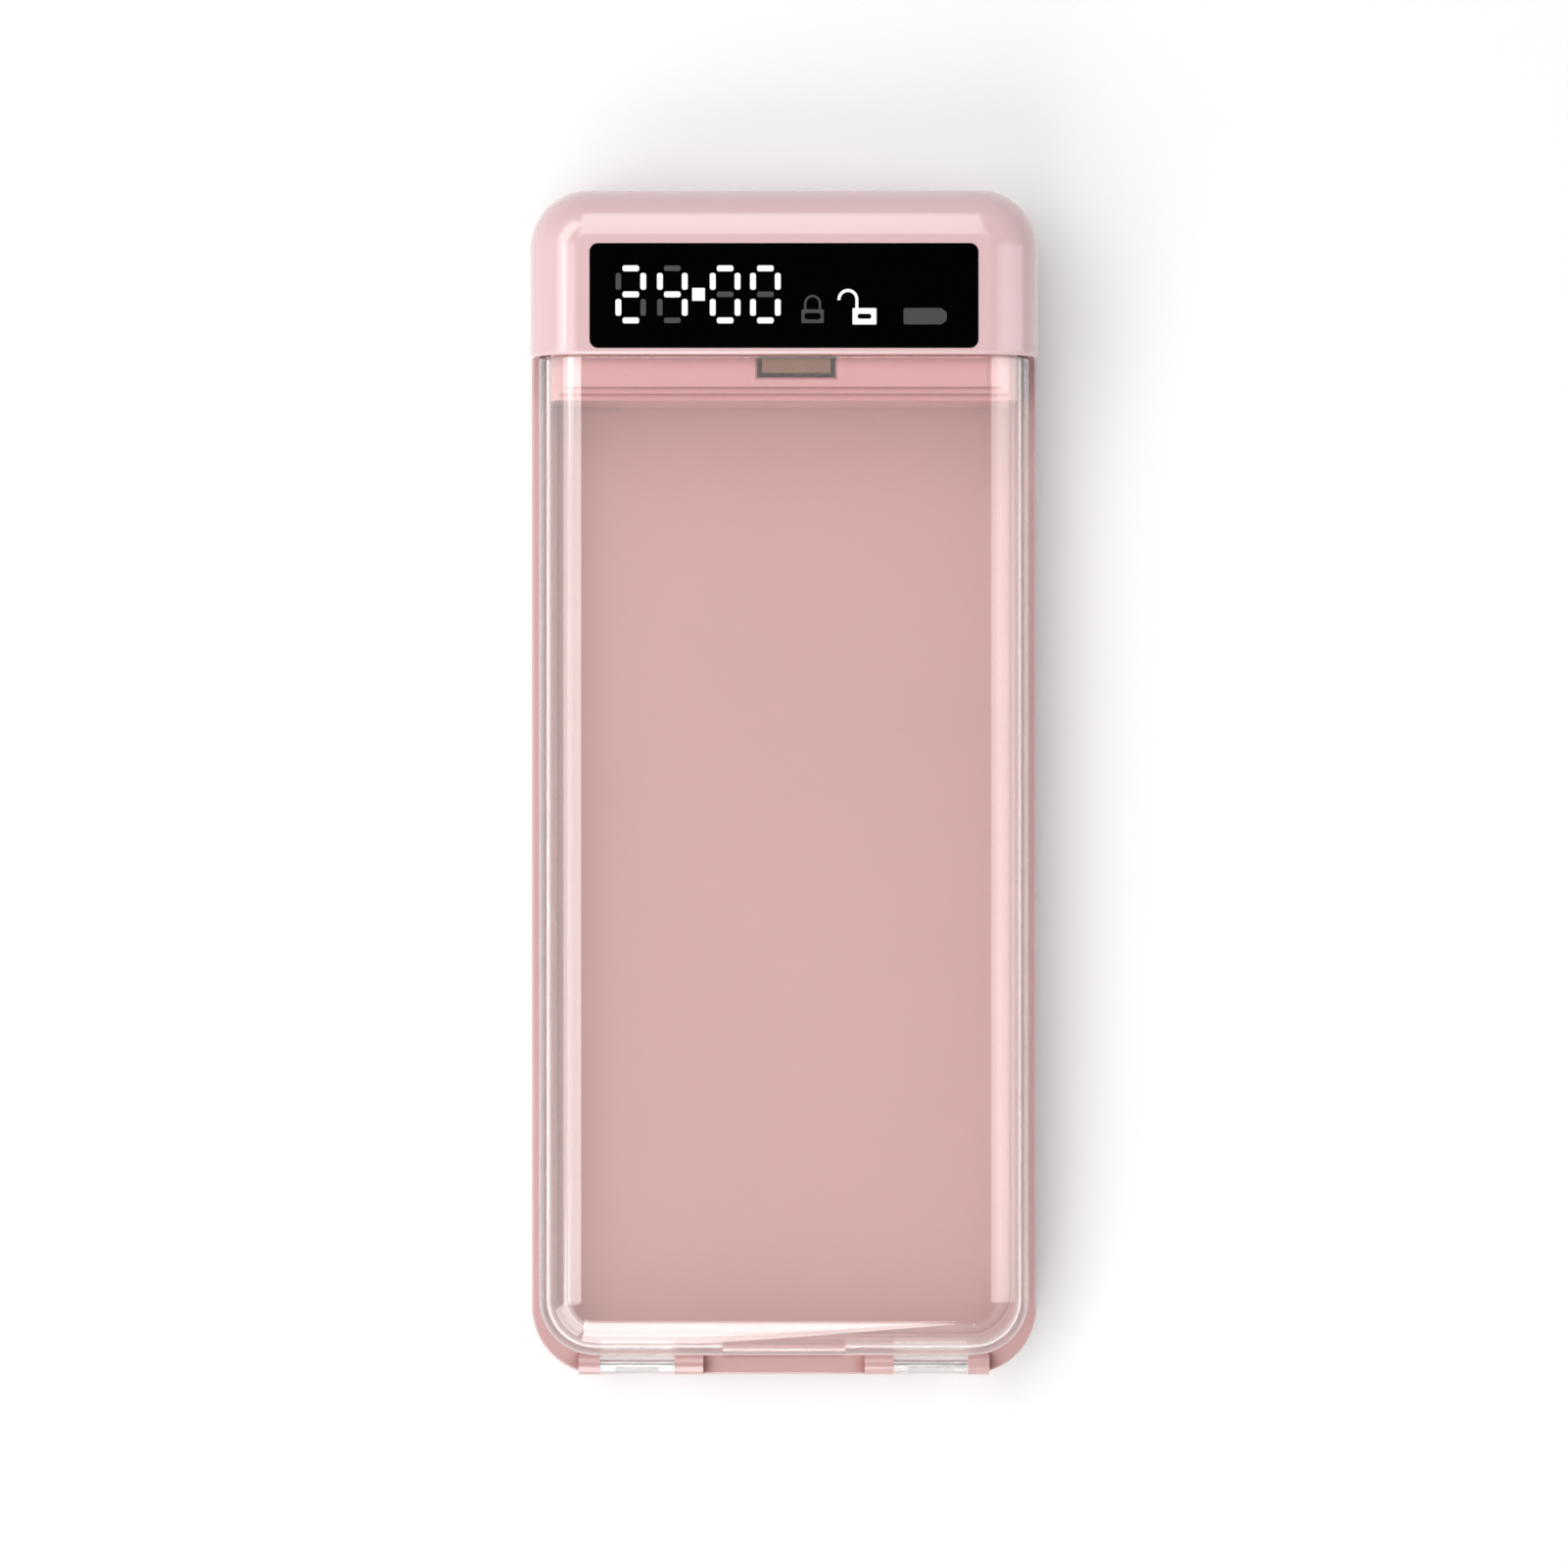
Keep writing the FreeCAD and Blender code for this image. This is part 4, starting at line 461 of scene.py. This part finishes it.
def moulded_surface_group():
    """Fine mould grain, slow colour drift, and smears of handling, for every moulded piece.

    Grain Size and Smear Size are in metres. Height is the grain from 0 to 1, Drift a slow change of
    tone, Smear the mask of handling marks, and Dust the mask of scattered specks.
    """
    sizes = {"Grain Size": 0.0006, "Smear Size": 0.02}
    masks = ["Height", "Drift", "Smear", "Dust"]
    tree, source, result = new_group("moulded surface", sizes, masks)
    where = object_point(tree)
    grain_scale = math_node(tree, "DIVIDE", 1.0, source.outputs["Grain Size"])
    smear_scale = math_node(tree, "DIVIDE", 1.0, source.outputs["Smear Size"])
    grain = node(
        tree,
        "ShaderNodeTexNoise",
        {"Vector": where, "Scale": grain_scale, "Detail": 2.0, "Roughness": 0.6},
    ).outputs["Fac"]
    drift = noise(tree, where, size=0.07, detail=2.0)
    smear = node(
        tree,
        "ShaderNodeTexNoise",
        {"Vector": where, "Scale": smear_scale, "Detail": 3.0, "Distortion": 0.5},
    ).outputs["Fac"]
    specks = noise(tree, where, size=0.0009, detail=1.0)
    tree.links.new(grain, result.inputs["Height"])
    tree.links.new(remap(tree, drift, 0.3, 0.7), result.inputs["Drift"])
    tree.links.new(remap(tree, smear, 0.3, 0.8), result.inputs["Smear"])
    tree.links.new(remap(tree, specks, 0.74, 0.80), result.inputs["Dust"])
    return tree


def machined_surface_group():
    """Fine lines of rolling or turning along Y, and slow staining, for every metal piece."""
    tree, _, result = new_group("machined surface", {}, ["Height", "Stain"])
    where = object_point(tree)
    stretched = node(
        tree, "ShaderNodeMapping", {"Vector": where, "Scale": (1.0, 0.06, 1.0)}
    ).outputs["Vector"]
    lines = noise(tree, stretched, size=0.00025, roughness=0.7)
    stain = noise(tree, where, size=0.004)
    tree.links.new(lines, result.inputs["Height"])
    tree.links.new(remap(tree, stain, 0.35, 0.7), result.inputs["Stain"])
    return tree


# The groups that have been built, by the name that use_group takes
GROUPS = {}


def use_group(tree, name, **inputs):
    """Places the named group in a material. Each group is built once."""
    makers = {"moulded": moulded_surface_group, "machined": machined_surface_group}
    if name not in GROUPS:
        GROUPS[name] = makers[name]()
    made = node(tree, "ShaderNodeGroup", node_tree=GROUPS[name])
    for socket, value in inputs.items():
        made.inputs[socket.replace("_", " ").title()].default_value = value
    return made.outputs


def new_material(name, **constants):
    """A material with one Principled shader whose sockets hold the given constants."""
    material = bpy.data.materials.new(name)
    material.use_nodes = True
    tree = material.node_tree
    shader = only_node(tree, "BSDF_PRINCIPLED")
    for socket, value in constants.items():
        shader.inputs[socket.replace("_", " ")].default_value = value
    return material, tree, shader


def bump(tree, shader, height, depth, strength=1.0):
    """Feeds a height from 0 to 1, as deep as depth in metres, to the shader's normal."""
    made = node(
        tree, "ShaderNodeBump", {"Height": height, "Distance": depth, "Strength": strength}
    )
    tree.links.new(made.outputs["Normal"], shader.inputs["Normal"])


def colour_socket(tree, shader, value):
    """Feeds the shader's base colour."""
    tree.links.new(value, shader.inputs["Base Color"])


def roughness_socket(tree, shader, value):
    """Feeds the shader's roughness."""
    tree.links.new(value, shader.inputs["Roughness"])


# Materials


def moulded_material(
    name,
    colour,
    finish,
    roughness,
    drift=0.02,
    smear=0.03,
    depth=None,
    shade_patch=None,
    deep=None,
    dull=None,
    **constants,
):
    """Moulded plastic: slight drift of tone, smears that change its gloss, grain and rare dust.
    A patch is a mask's function and the painted shade colour there. Where a crevice shade colour is
    given, grooves and inner corners take that colour as painted shade, found by ambient occlusion.
    Where dull is given, a mask's function, the gloss goes there."""
    material, tree, shader = new_material(name, **constants)
    marks = use_group(tree, "moulded", grain_size=finish.grain, smear_size=finish.handling)
    tone = blend_colours(tree, marks["Drift"], shade(colour, 1 - drift), shade(colour, 1 + drift))
    tone = blend_colours(tree, remap(tree, marks["Dust"], 0.0, 1.0, 0.0, drift), tone, DUST)
    # Painted shade: the patch's colour goes over the tone where its mask is 1.
    if shade_patch:
        mask, shade_patch_colour = shade_patch
        tone = blend_colours(tree, mask(tree), tone, shade_patch_colour)
    # Painted shade: where ambient occlusion finds grooves and inner corners closed in, the tone darkens
    # towards the painted shade colour.
    if deep:
        open_sky = node(
            tree, "ShaderNodeAmbientOcclusion", {"Distance": CREVICE_SHADE_REACH}, samples=8, only_local=True
        ).outputs["AO"]
        tone = blend_colours(tree, remap(tree, open_sky, 0.35, 0.95, 1.0, 0.0), tone, deep)
    colour_socket(tree, shader, tone)
    spread = remap(tree, marks["Smear"], 0.0, 1.0, roughness - smear / 2, roughness + smear)
    if dull:
        mask = dull(tree)
        spread = math_node(tree, "MULTIPLY_ADD", mask, POCKET_DULL, spread)
        coat = math_node(tree, "SUBTRACT", 1.0, mask)
        tree.links.new(coat, shader.inputs["Coat Weight"])
    roughness_socket(tree, shader, spread)
    bump(tree, shader, marks["Height"], finish.grain_depth if depth is None else depth)
    return material


def ledge_shade_mask(tree):
    """1 on the head's ledge, which the clear cover reaches over, and 0 on the head itself. It places
    the ledge's painted shade.
    """
    along = object_axes(tree)["Y"]
    return remap(tree, along, COVER_END, COVER_END + LEDGE_SHADE_EDGE, 1.0, 0.0)


def pocket_mask(tree):
    """1 on the floor of the tray's pocket and 0 elsewhere, with a soft edge up its walls."""
    place = object_axes(tree)
    across = math_node(tree, "ABSOLUTE", place["X"])
    start, end = (POCKET_FLOOR + fade for fade in POCKET_FADE)
    low = remap(tree, place["Z"], start, end, 1.0, 0.0)
    above = remap(tree, place["Z"], POCKET_FLOOR - 2 * POCKET_EDGE, POCKET_FLOOR - POCKET_EDGE)
    between = remap(tree, across, POCKET_HALF, POCKET_HALF + POCKET_EDGE, 1.0, 0.0)
    return math_node(tree, "MULTIPLY", math_node(tree, "MULTIPLY", low, above), between)


def panel_mask(tree):
    """1 in the thin panel in the middle of the cover's tail."""
    place = object_axes(tree)
    across = math_node(tree, "ABSOLUTE", place["X"])
    between = remap(tree, across, PANEL_HALF, PANEL_HALF + PANEL_EDGE, 1.0, 0.0)
    below = remap(tree, place["Y"], PANEL_FROM, PANEL_FROM + PANEL_EDGE, 1.0, 0.0)
    return math_node(tree, "MULTIPLY", between, below)


def cover_tone(tree, tint):
    """The cover's tint, deeper in the panel of its tail. The knuckles have hardly any."""
    ahead = remap(tree, object_axes(tree)["Y"], KNUCKLES, KNUCKLES + KNUCKLE_FADE)
    body = blend_colours(tree, panel_mask(tree), tint, PANEL_TINT)
    return blend_colours(tree, ahead, KNUCKLE_TINT, body)


def clear_material(name, tint, haze, finish, tone=None):
    """Clear polished plastic with a little haze in it. For shadow rays it is see-through, so that
    lamps reach what it covers. A tone is a function that makes its colour from the tint."""
    material, tree, shader = new_material(
        name,
        Base_Color=(*tint, 1.0),
        IOR=CLEAR_IOR,
        Transmission_Weight=1.0 - haze,
        Coat_Weight=1.0,
        Coat_IOR=CLEAR_COAT_IOR,
        Coat_Roughness=finish.clear_roughness,
    )
    if tone:
        colour_socket(tree, shader, tone(tree, tint))
    marks = use_group(tree, "moulded", grain_size=CLEAR_GRAIN, smear_size=finish.handling)
    low = finish.clear_roughness
    roughness_socket(tree, shader, remap(tree, marks["Smear"], 0.0, 1.0, low, low * 3.0))
    bump(tree, shader, marks["Height"], finish.grain_depth / 4)
    see_through = node(
        tree, "ShaderNodeBsdfTransparent", {"Color": (*(c ** 0.5 for c in tint), 1.0)}
    )
    path = node(tree, "ShaderNodeLightPath").outputs
    mix = node(tree, "ShaderNodeMixShader", {"Fac": path["Is Shadow Ray"]})
    tree.links.new(shader.outputs["BSDF"], mix.inputs[1])
    tree.links.new(see_through.outputs["BSDF"], mix.inputs[2])
    output = only_node(tree, "OUTPUT_MATERIAL")
    tree.links.new(mix.outputs["Shader"], output.inputs["Surface"])
    return material


def metal_material(name, colour, roughness):
    """Rolled or turned metal: fine lines and faint stains."""
    material, tree, shader = new_material(name, Metallic=1.0)
    marks = use_group(tree, "machined")
    colour_socket(tree, shader, blend_colours(tree, marks["Stain"], shade(colour, 0.86), colour))
    spread = remap(tree, marks["Height"], 0.3, 0.7, roughness - 0.06, roughness + 0.08)
    roughness_socket(tree, shader, spread)
    bump(tree, shader, marks["Height"], depth=0.000004)
    return material


def sign_material(name, colour, light):
    """A light guide in the window: milky, and lit from behind where light is above 0."""
    material, tree, shader = new_material(
        name,
        Emission_Color=(1.0, 1.0, 1.0, 1.0),
        Emission_Strength=light,
        Specular_IOR_Level=0.2,
    )
    clouds = noise(tree, object_point(tree), size=0.0012, detail=2.0)
    colour_socket(tree, shader, blend_colours(tree, clouds, shade(colour, 0.94), colour))
    roughness_socket(tree, shader, remap(tree, clouds, 0.3, 0.7, 0.30, 0.42))
    return material


def board_material(colours):
    """Green solder mask with copper tracks that show through it."""
    material, tree, shader = new_material("circuit board", Coat_Weight=0.3, Coat_Roughness=0.2)
    pattern = {
        "Vector": object_point(tree),
        "Scale": 420.0,
        "Mortar Size": 0.06,
        "Brick Width": 1.7,
        "Row Height": 0.5,
    }
    tracks = node(
        tree, "ShaderNodeTexBrick", pattern, offset=0.37, squash_frequency=3
    ).outputs["Fac"]
    lighter = tuple(min(1.0, c * 2.2 + 0.01) for c in colours.board)
    colour_socket(tree, shader, blend_colours(tree, tracks, colours.board, lighter))
    roughness_socket(tree, shader, remap(tree, tracks, 0.0, 1.0, 0.42, 0.3))
    bump(tree, shader, tracks, depth=0.00003)
    return material


def lead_material(colours, plus_from_x):
    """Insulated wires: the plus wire lies past plus_from_x, and the other one is black."""
    material, tree, shader = new_material("insulated wires")
    plus = math_node(tree, "GREATER_THAN", object_axes(tree)["X"], plus_from_x)
    colour_socket(tree, shader, blend_colours(tree, plus, (0.02, 0.02, 0.022), colours.lead))
    grain = noise(tree, object_point(tree), size=0.0008)
    roughness_socket(tree, shader, remap(tree, grain, 0.3, 0.7, 0.38, 0.52))
    bump(tree, shader, grain, depth=0.00001)
    return material


def foil_material(colours):
    """The battery's laminated foil, with soft creases."""
    material, tree, shader = new_material("battery foil", Metallic=0.85)
    creases = noise(tree, object_point(tree), size=0.006, detail=4.0, distortion=0.8)
    colour_socket(
        tree, shader, blend_colours(tree, creases, shade(colours.foil, 0.85), colours.foil)
    )
    roughness_socket(tree, shader, remap(tree, creases, 0.3, 0.7, 0.32, 0.5))
    bump(tree, shader, creases, depth=0.0002, strength=0.6)
    return material


def floor_material(colour):
    """A pale floor that takes shadows. For camera, glossy and transmission rays it glows faintly,
    more so far from the case, where the lamps don't reach, so that it reads as white."""
    material, tree, shader = new_material("studio floor", Roughness=0.9, Specular_IOR_Level=0.0)
    where = object_point(tree)
    grain = noise(tree, where, size=0.05, detail=2.0)
    colour_socket(tree, shader, blend_colours(tree, grain, shade(colour, 0.985), colour))
    away = node(tree, "ShaderNodeVectorMath", {0: where}, operation="LENGTH").outputs["Value"]
    glow = remap(tree, away, *GLOW_REACH, *GLOW_LEVEL)
    strength = math_node(tree, "MULTIPLY", glow, seen_rays(tree))
    light = node(tree, "ShaderNodeEmission", {"Strength": strength})
    both = node(tree, "ShaderNodeAddShader")
    tree.links.new(shader.outputs["BSDF"], both.inputs[0])
    tree.links.new(light.outputs["Emission"], both.inputs[1])
    output = only_node(tree, "OUTPUT_MATERIAL")
    tree.links.new(both.outputs["Shader"], output.inputs["Surface"])
    return material


def dress(names, material):
    """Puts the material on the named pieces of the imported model."""
    for name in names:
        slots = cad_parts[name].material_slots
        if not slots:
            raise RuntimeError(f"{name} has no material slot")
        for slot in slots:
            slot.material = material


# The stage's objects


def add_object(name, data):
    """A new object in the scene that holds the data."""
    made = bpy.data.objects.new(name, data)
    bpy.context.scene.collection.objects.link(made)
    return made


def grid_mesh(name, points):
    """A mesh over a grid of points, shape (rows, columns, 3): one face per cell of the grid."""
    rows, columns = points.shape[:2]
    row, column = np.meshgrid(np.arange(rows - 1), np.arange(columns - 1), indexing="ij")
    first = row * columns + column
    corners = [first, first + 1, first + columns + 1, first + columns]
    faces = np.stack(corners, axis=-1).reshape(-1, 4)
    mesh = bpy.data.meshes.new(name)
    mesh.from_pydata(points.reshape(-1, 3), [], faces)
    mesh.update()
    return add_object(name, mesh)


# Operators: one for each group of like pieces, and one for the stage


class PieceOperator:
    """What the operators share."""

    bl_options = {"REGISTER", "UNDO"}

    def settings(self, context):
        return context.scene.lock_box_colours, context.scene.lock_box_finish


class LOCKBOX_OT_shells(PieceOperator, bpy.types.Operator):
    """Pink mouldings: tray, head and the three buttons"""

    bl_idname = "lockbox.shells"
    bl_label = "Pink shells"

    def execute(self, context):
        colours, finish = self.settings(context)
        pink = moulded_material(
            "pink shell",
            colours.pink,
            finish,
            finish.shell_roughness,
            # Painted shade on the head's ledge under the clear cover.
            shade_patch=(ledge_shade_mask, tuple(colours.ledge)),
            # Painted shade in grooves and inner corners.
            deep=tuple(colours.painted_crevice_shade),
            IOR=PINK_IOR,
            Coat_Weight=1.0,
            Coat_Roughness=0.08,
        )
        dress(["head_cover", "hour_button", "minute_button", "lock_button"], pink)
        tray = moulded_material(
            "pink tray",
            colours.tray,
            finish,
            finish.shell_roughness,
            # Painted shade in grooves and inner corners.
            deep=tuple(colours.painted_crevice_shade),
            dull=pocket_mask,
            IOR=PINK_IOR,
        )
        dress(["rear_case"], tray)
        return {"FINISHED"}


class LOCKBOX_OT_clear_parts(PieceOperator, bpy.types.Operator):
    """Clear mouldings: cover and hook"""

    bl_idname = "lockbox.clear_parts"
    bl_label = "Clear cover and hook"

    def execute(self, context):
        colours, finish = self.settings(context)
        tint, smoke = tuple(colours.clear_tint), tuple(colours.hook_tint)
        cover = clear_material("clear plastic", tint, COVER_HAZE, finish, cover_tone)
        dress(["clear_cover"], cover)
        dress(["latch_hook"], clear_material("clear hook", smoke, HOOK_HAZE, finish))
        return {"FINISHED"}


class LOCKBOX_OT_display(PieceOperator, bpy.types.Operator):
    """Display: window, digit bars, signs and the light chambers behind them"""

    bl_idname = "lockbox.display"
    bl_label = "Display"

    def execute(self, context):
        colours, finish = self.settings(context)
        window = moulded_material(
            "display window",
            colours.window_black,
            finish,
            roughness=0.07,
            drift=0.001,
            smear=0.04,
            depth=0.0,
            Specular_IOR_Level=0.01,
        )
        dress(["display_lens"], window)
        lit = sign_material("lit signs", colours.lit, SIGN_LIGHT)
        dress(["digit_bars_lit", "icon_unlocked"], lit)
        dim = sign_material("unlit signs", colours.dim, light=0.0)
        dress(["digit_bars_dim", "icon_locked", "icon_battery"], dim)
        black = moulded_material("black moulding", colours.black_part, finish, roughness=0.5)
        dress(["display_module"], black)
        return {"FINISHED"}


class LOCKBOX_OT_drive(PieceOperator, bpy.types.Operator):
    """Lock drive: bolt, pinion, shaft, gearbox, motor, bracket and strap"""

    bl_idname = "lockbox.drive"
    bl_label = "Lock drive"

    def execute(self, context):
        colours, finish = self.settings(context)
        white = moulded_material("white moulding", colours.white_part, finish, roughness=0.42)
        dress(["lock_bolt", "lock_bracket"], white)
        dress(["lock_pinion"], metal_material("brass", colours.brass, roughness=0.26))
        steel = metal_material("motor steel", colours.steel, roughness=0.3)
        dress(["output_shaft", "gearbox", "motor_can", "motor_strap"], steel)
        return {"FINISHED"}


class LOCKBOX_OT_electronics(PieceOperator, bpy.types.Operator):
    """Boards, what is on them, battery, wires, port and switches"""

    bl_idname = "lockbox.electronics"
    bl_label = "Electronics"

    def execute(self, context):
        colours, finish = self.settings(context)
        dress(["main_board", "display_board"], board_material(colours))
        black = moulded_material(
            "chip moulding", colours.black_part, finish, roughness=0.55, depth=0.00001
        )
        dress(["board_parts", "tact_switches", "usb_tongue"], black)
        dress(["battery"], foil_material(colours))
        for name in ("battery_leads", "motor_leads"):
            low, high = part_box(name)
            dress([name], lead_material(colours, (low.x + high.x) / 2))
        dress(["usb_shell"], metal_material("port steel", colours.steel, roughness=0.22))
        film = moulded_material(
            "cable film", colours.film, finish, roughness=0.35, Coat_Weight=0.4
        )
        dress(["display_flex"], film)
        return {"FINISHED"}


class LOCKBOX_OT_fasteners(PieceOperator, bpy.types.Operator):
    """Screws, hinge pins and feet"""

    bl_idname = "lockbox.fasteners"
    bl_label = "Fasteners and feet"

    def execute(self, context):
        colours, finish = self.settings(context)
        steel = metal_material("screw steel", colours.steel, roughness=0.28)
        dress(["case_screws", "display_screws", "board_screws", "drive_screws"], steel)
        pins = metal_material("pin steel", colours.steel, roughness=0.2)
        dress(["hinge_pin_left", "hinge_pin_right"], pins)
        pad = moulded_material("foot pad", colours.foot, finish, roughness=0.62, depth=0.00002)
        dress(["feet"], pad)
        return {"FINISHED"}


class LOCKBOX_OT_stage(PieceOperator, bpy.types.Operator):
    """Pale floor, even world light, softboxes, and the camera of the photograph"""

    bl_idname = "lockbox.stage"
    bl_label = "Stage"

    def execute(self, context):
        scene = context.scene
        studio = scene.lock_box_studio
        self.make_floor(studio, scene.lock_box_colours.floor)
        self.make_world(scene, studio)
        for name, place in SOFTBOXES.items():
            self.make_softbox(name, place, getattr(studio, name + "_level"))
        self.make_camera(scene, studio)
        scene.view_settings.view_transform = "Standard"
        return {"FINISHED"}

    def make_floor(self, studio, colour):
        """A level square at the height of the feet. Its grid lines lie at reach times the cube of
        even steps from -1 to 1, so that they are closest round the case."""
        line = np.linspace(-1.0, 1.0, FLOOR_LINES) ** 3 * studio.floor_reach
        along, across = np.meshgrid(line, line, indexing="ij")
        height = np.full_like(across, CAD_BOUNDS[0].z)
        floor = grid_mesh("studio_floor", np.stack([across, along, height], axis=-1))
        floor.data.materials.append(floor_material(colour))

    def make_world(self, scene, studio):
        """Even light from all round. Camera, glossy and transmission rays see a white backdrop
        below the ceiling, as long as they haven't met a dull surface, so that the backdrop adds no
        light to the case. The ceiling stays at the even level."""
        world = bpy.data.worlds.new("studio world")
        world.use_nodes = True
        tree = world.node_tree
        background = only_node(tree, "BACKGROUND")
        background.inputs["Color"].default_value = (1.0, 1.0, 1.0, 1.0)
        depth = node(tree, "ShaderNodeLightPath").outputs["Diffuse Depth"]
        direct = math_node(tree, "LESS_THAN", depth, 0.5)
        seen = math_node(tree, "MULTIPLY", seen_rays(tree), direct)
        way = node(tree, "ShaderNodeTexCoord").outputs["Generated"]
        height = node(tree, "ShaderNodeSeparateXYZ", {"Vector": way}).outputs["Z"]
        walls = remap(tree, height, CEILING_FROM, CEILING_TO, 1.0, 0.0)
        seen = math_node(tree, "MULTIPLY", seen, walls)
        level = remap(tree, seen, 0.0, 1.0, studio.world_level, BACKDROP_LEVEL)
        tree.links.new(level, background.inputs["Strength"])
        scene.world = world

    def make_softbox(self, name, place, level):
        """A rectangular lamp that faces the case's middle. Its power gives the same brightness at
        any size: brightness times pi times area."""
        compass, tilt, distance, width, length = place
        lamp = bpy.data.lights.new("softbox_" + name, "AREA")
        lamp.shape = "RECTANGLE"
        lamp.size, lamp.size_y = width, length
        lamp.energy = level * math.pi * width * length
        piece = add_object(lamp.name, lamp)
        turn, lean = math.radians(compass), math.radians(tilt)
        way = Vector(
            (math.sin(turn) * math.sin(lean), math.cos(turn) * math.sin(lean), math.cos(lean))
        )
        piece.location = way * distance
        piece.rotation_euler = way.to_track_quat("Z", "Y").to_euler()
        piece.visible_camera = False

    def make_camera(self, scene, studio):
        """Straight above the case, head up. Its angle gives the case the photograph's width."""
        data = bpy.data.cameras.new("photo_camera")
        camera = add_object("photo_camera", data)
        camera.location = (0.0, 0.0, studio.camera_height)
        frame_width = CASE_WIDTH * PHOTO_SIDE_PX / CASE_WIDTH_PX
        data.angle = 2 * math.atan(frame_width / 2 / (studio.camera_height - RIM_HEIGHT))
        data.clip_start = 0.01
        scene.camera = camera


PROPERTY_GROUPS = {
    "lock_box_colours": LockBoxColours,
    "lock_box_finish": LockBoxFinish,
    "lock_box_studio": LockBoxStudio,
}
OPERATORS = (
    LOCKBOX_OT_stage,
    LOCKBOX_OT_shells,
    LOCKBOX_OT_clear_parts,
    LOCKBOX_OT_display,
    LOCKBOX_OT_drive,
    LOCKBOX_OT_electronics,
    LOCKBOX_OT_fasteners,
)


class LOCKBOX_PT_panel(bpy.types.Panel):
    """The steps and their settings, in the 3D view's sidebar"""

    bl_idname = "LOCKBOX_PT_panel"
    bl_label = "Timed Lock Container"
    bl_space_type = "VIEW_3D"
    bl_region_type = "UI"
    bl_category = "Lock Box"

    def draw(self, context):
        layout = self.layout
        for operator in OPERATORS:
            layout.operator(operator.bl_idname)
        for name, group in PROPERTY_GROUPS.items():
            box = layout.box()
            for prop in group.__annotations__:
                box.prop(getattr(context.scene, name), prop)


def register():
    for group in PROPERTY_GROUPS.values():
        bpy.utils.register_class(group)
    for name, group in PROPERTY_GROUPS.items():
        setattr(bpy.types.Scene, name, PointerProperty(type=group))
    for kind in (*OPERATORS, LOCKBOX_PT_panel):
        bpy.utils.register_class(kind)


def unregister():
    for kind in (LOCKBOX_PT_panel, *reversed(OPERATORS)):
        bpy.utils.unregister_class(kind)
    for name, group in PROPERTY_GROUPS.items():
        delattr(bpy.types.Scene, name)
        bpy.utils.unregister_class(group)


def main():
    register()
    bpy.ops.lockbox.stage()
    bpy.ops.lockbox.shells()
    bpy.ops.lockbox.clear_parts()
    bpy.ops.lockbox.display()
    bpy.ops.lockbox.drive()
    bpy.ops.lockbox.electronics()
    bpy.ops.lockbox.fasteners()


if __name__ == "__main__":
    main()
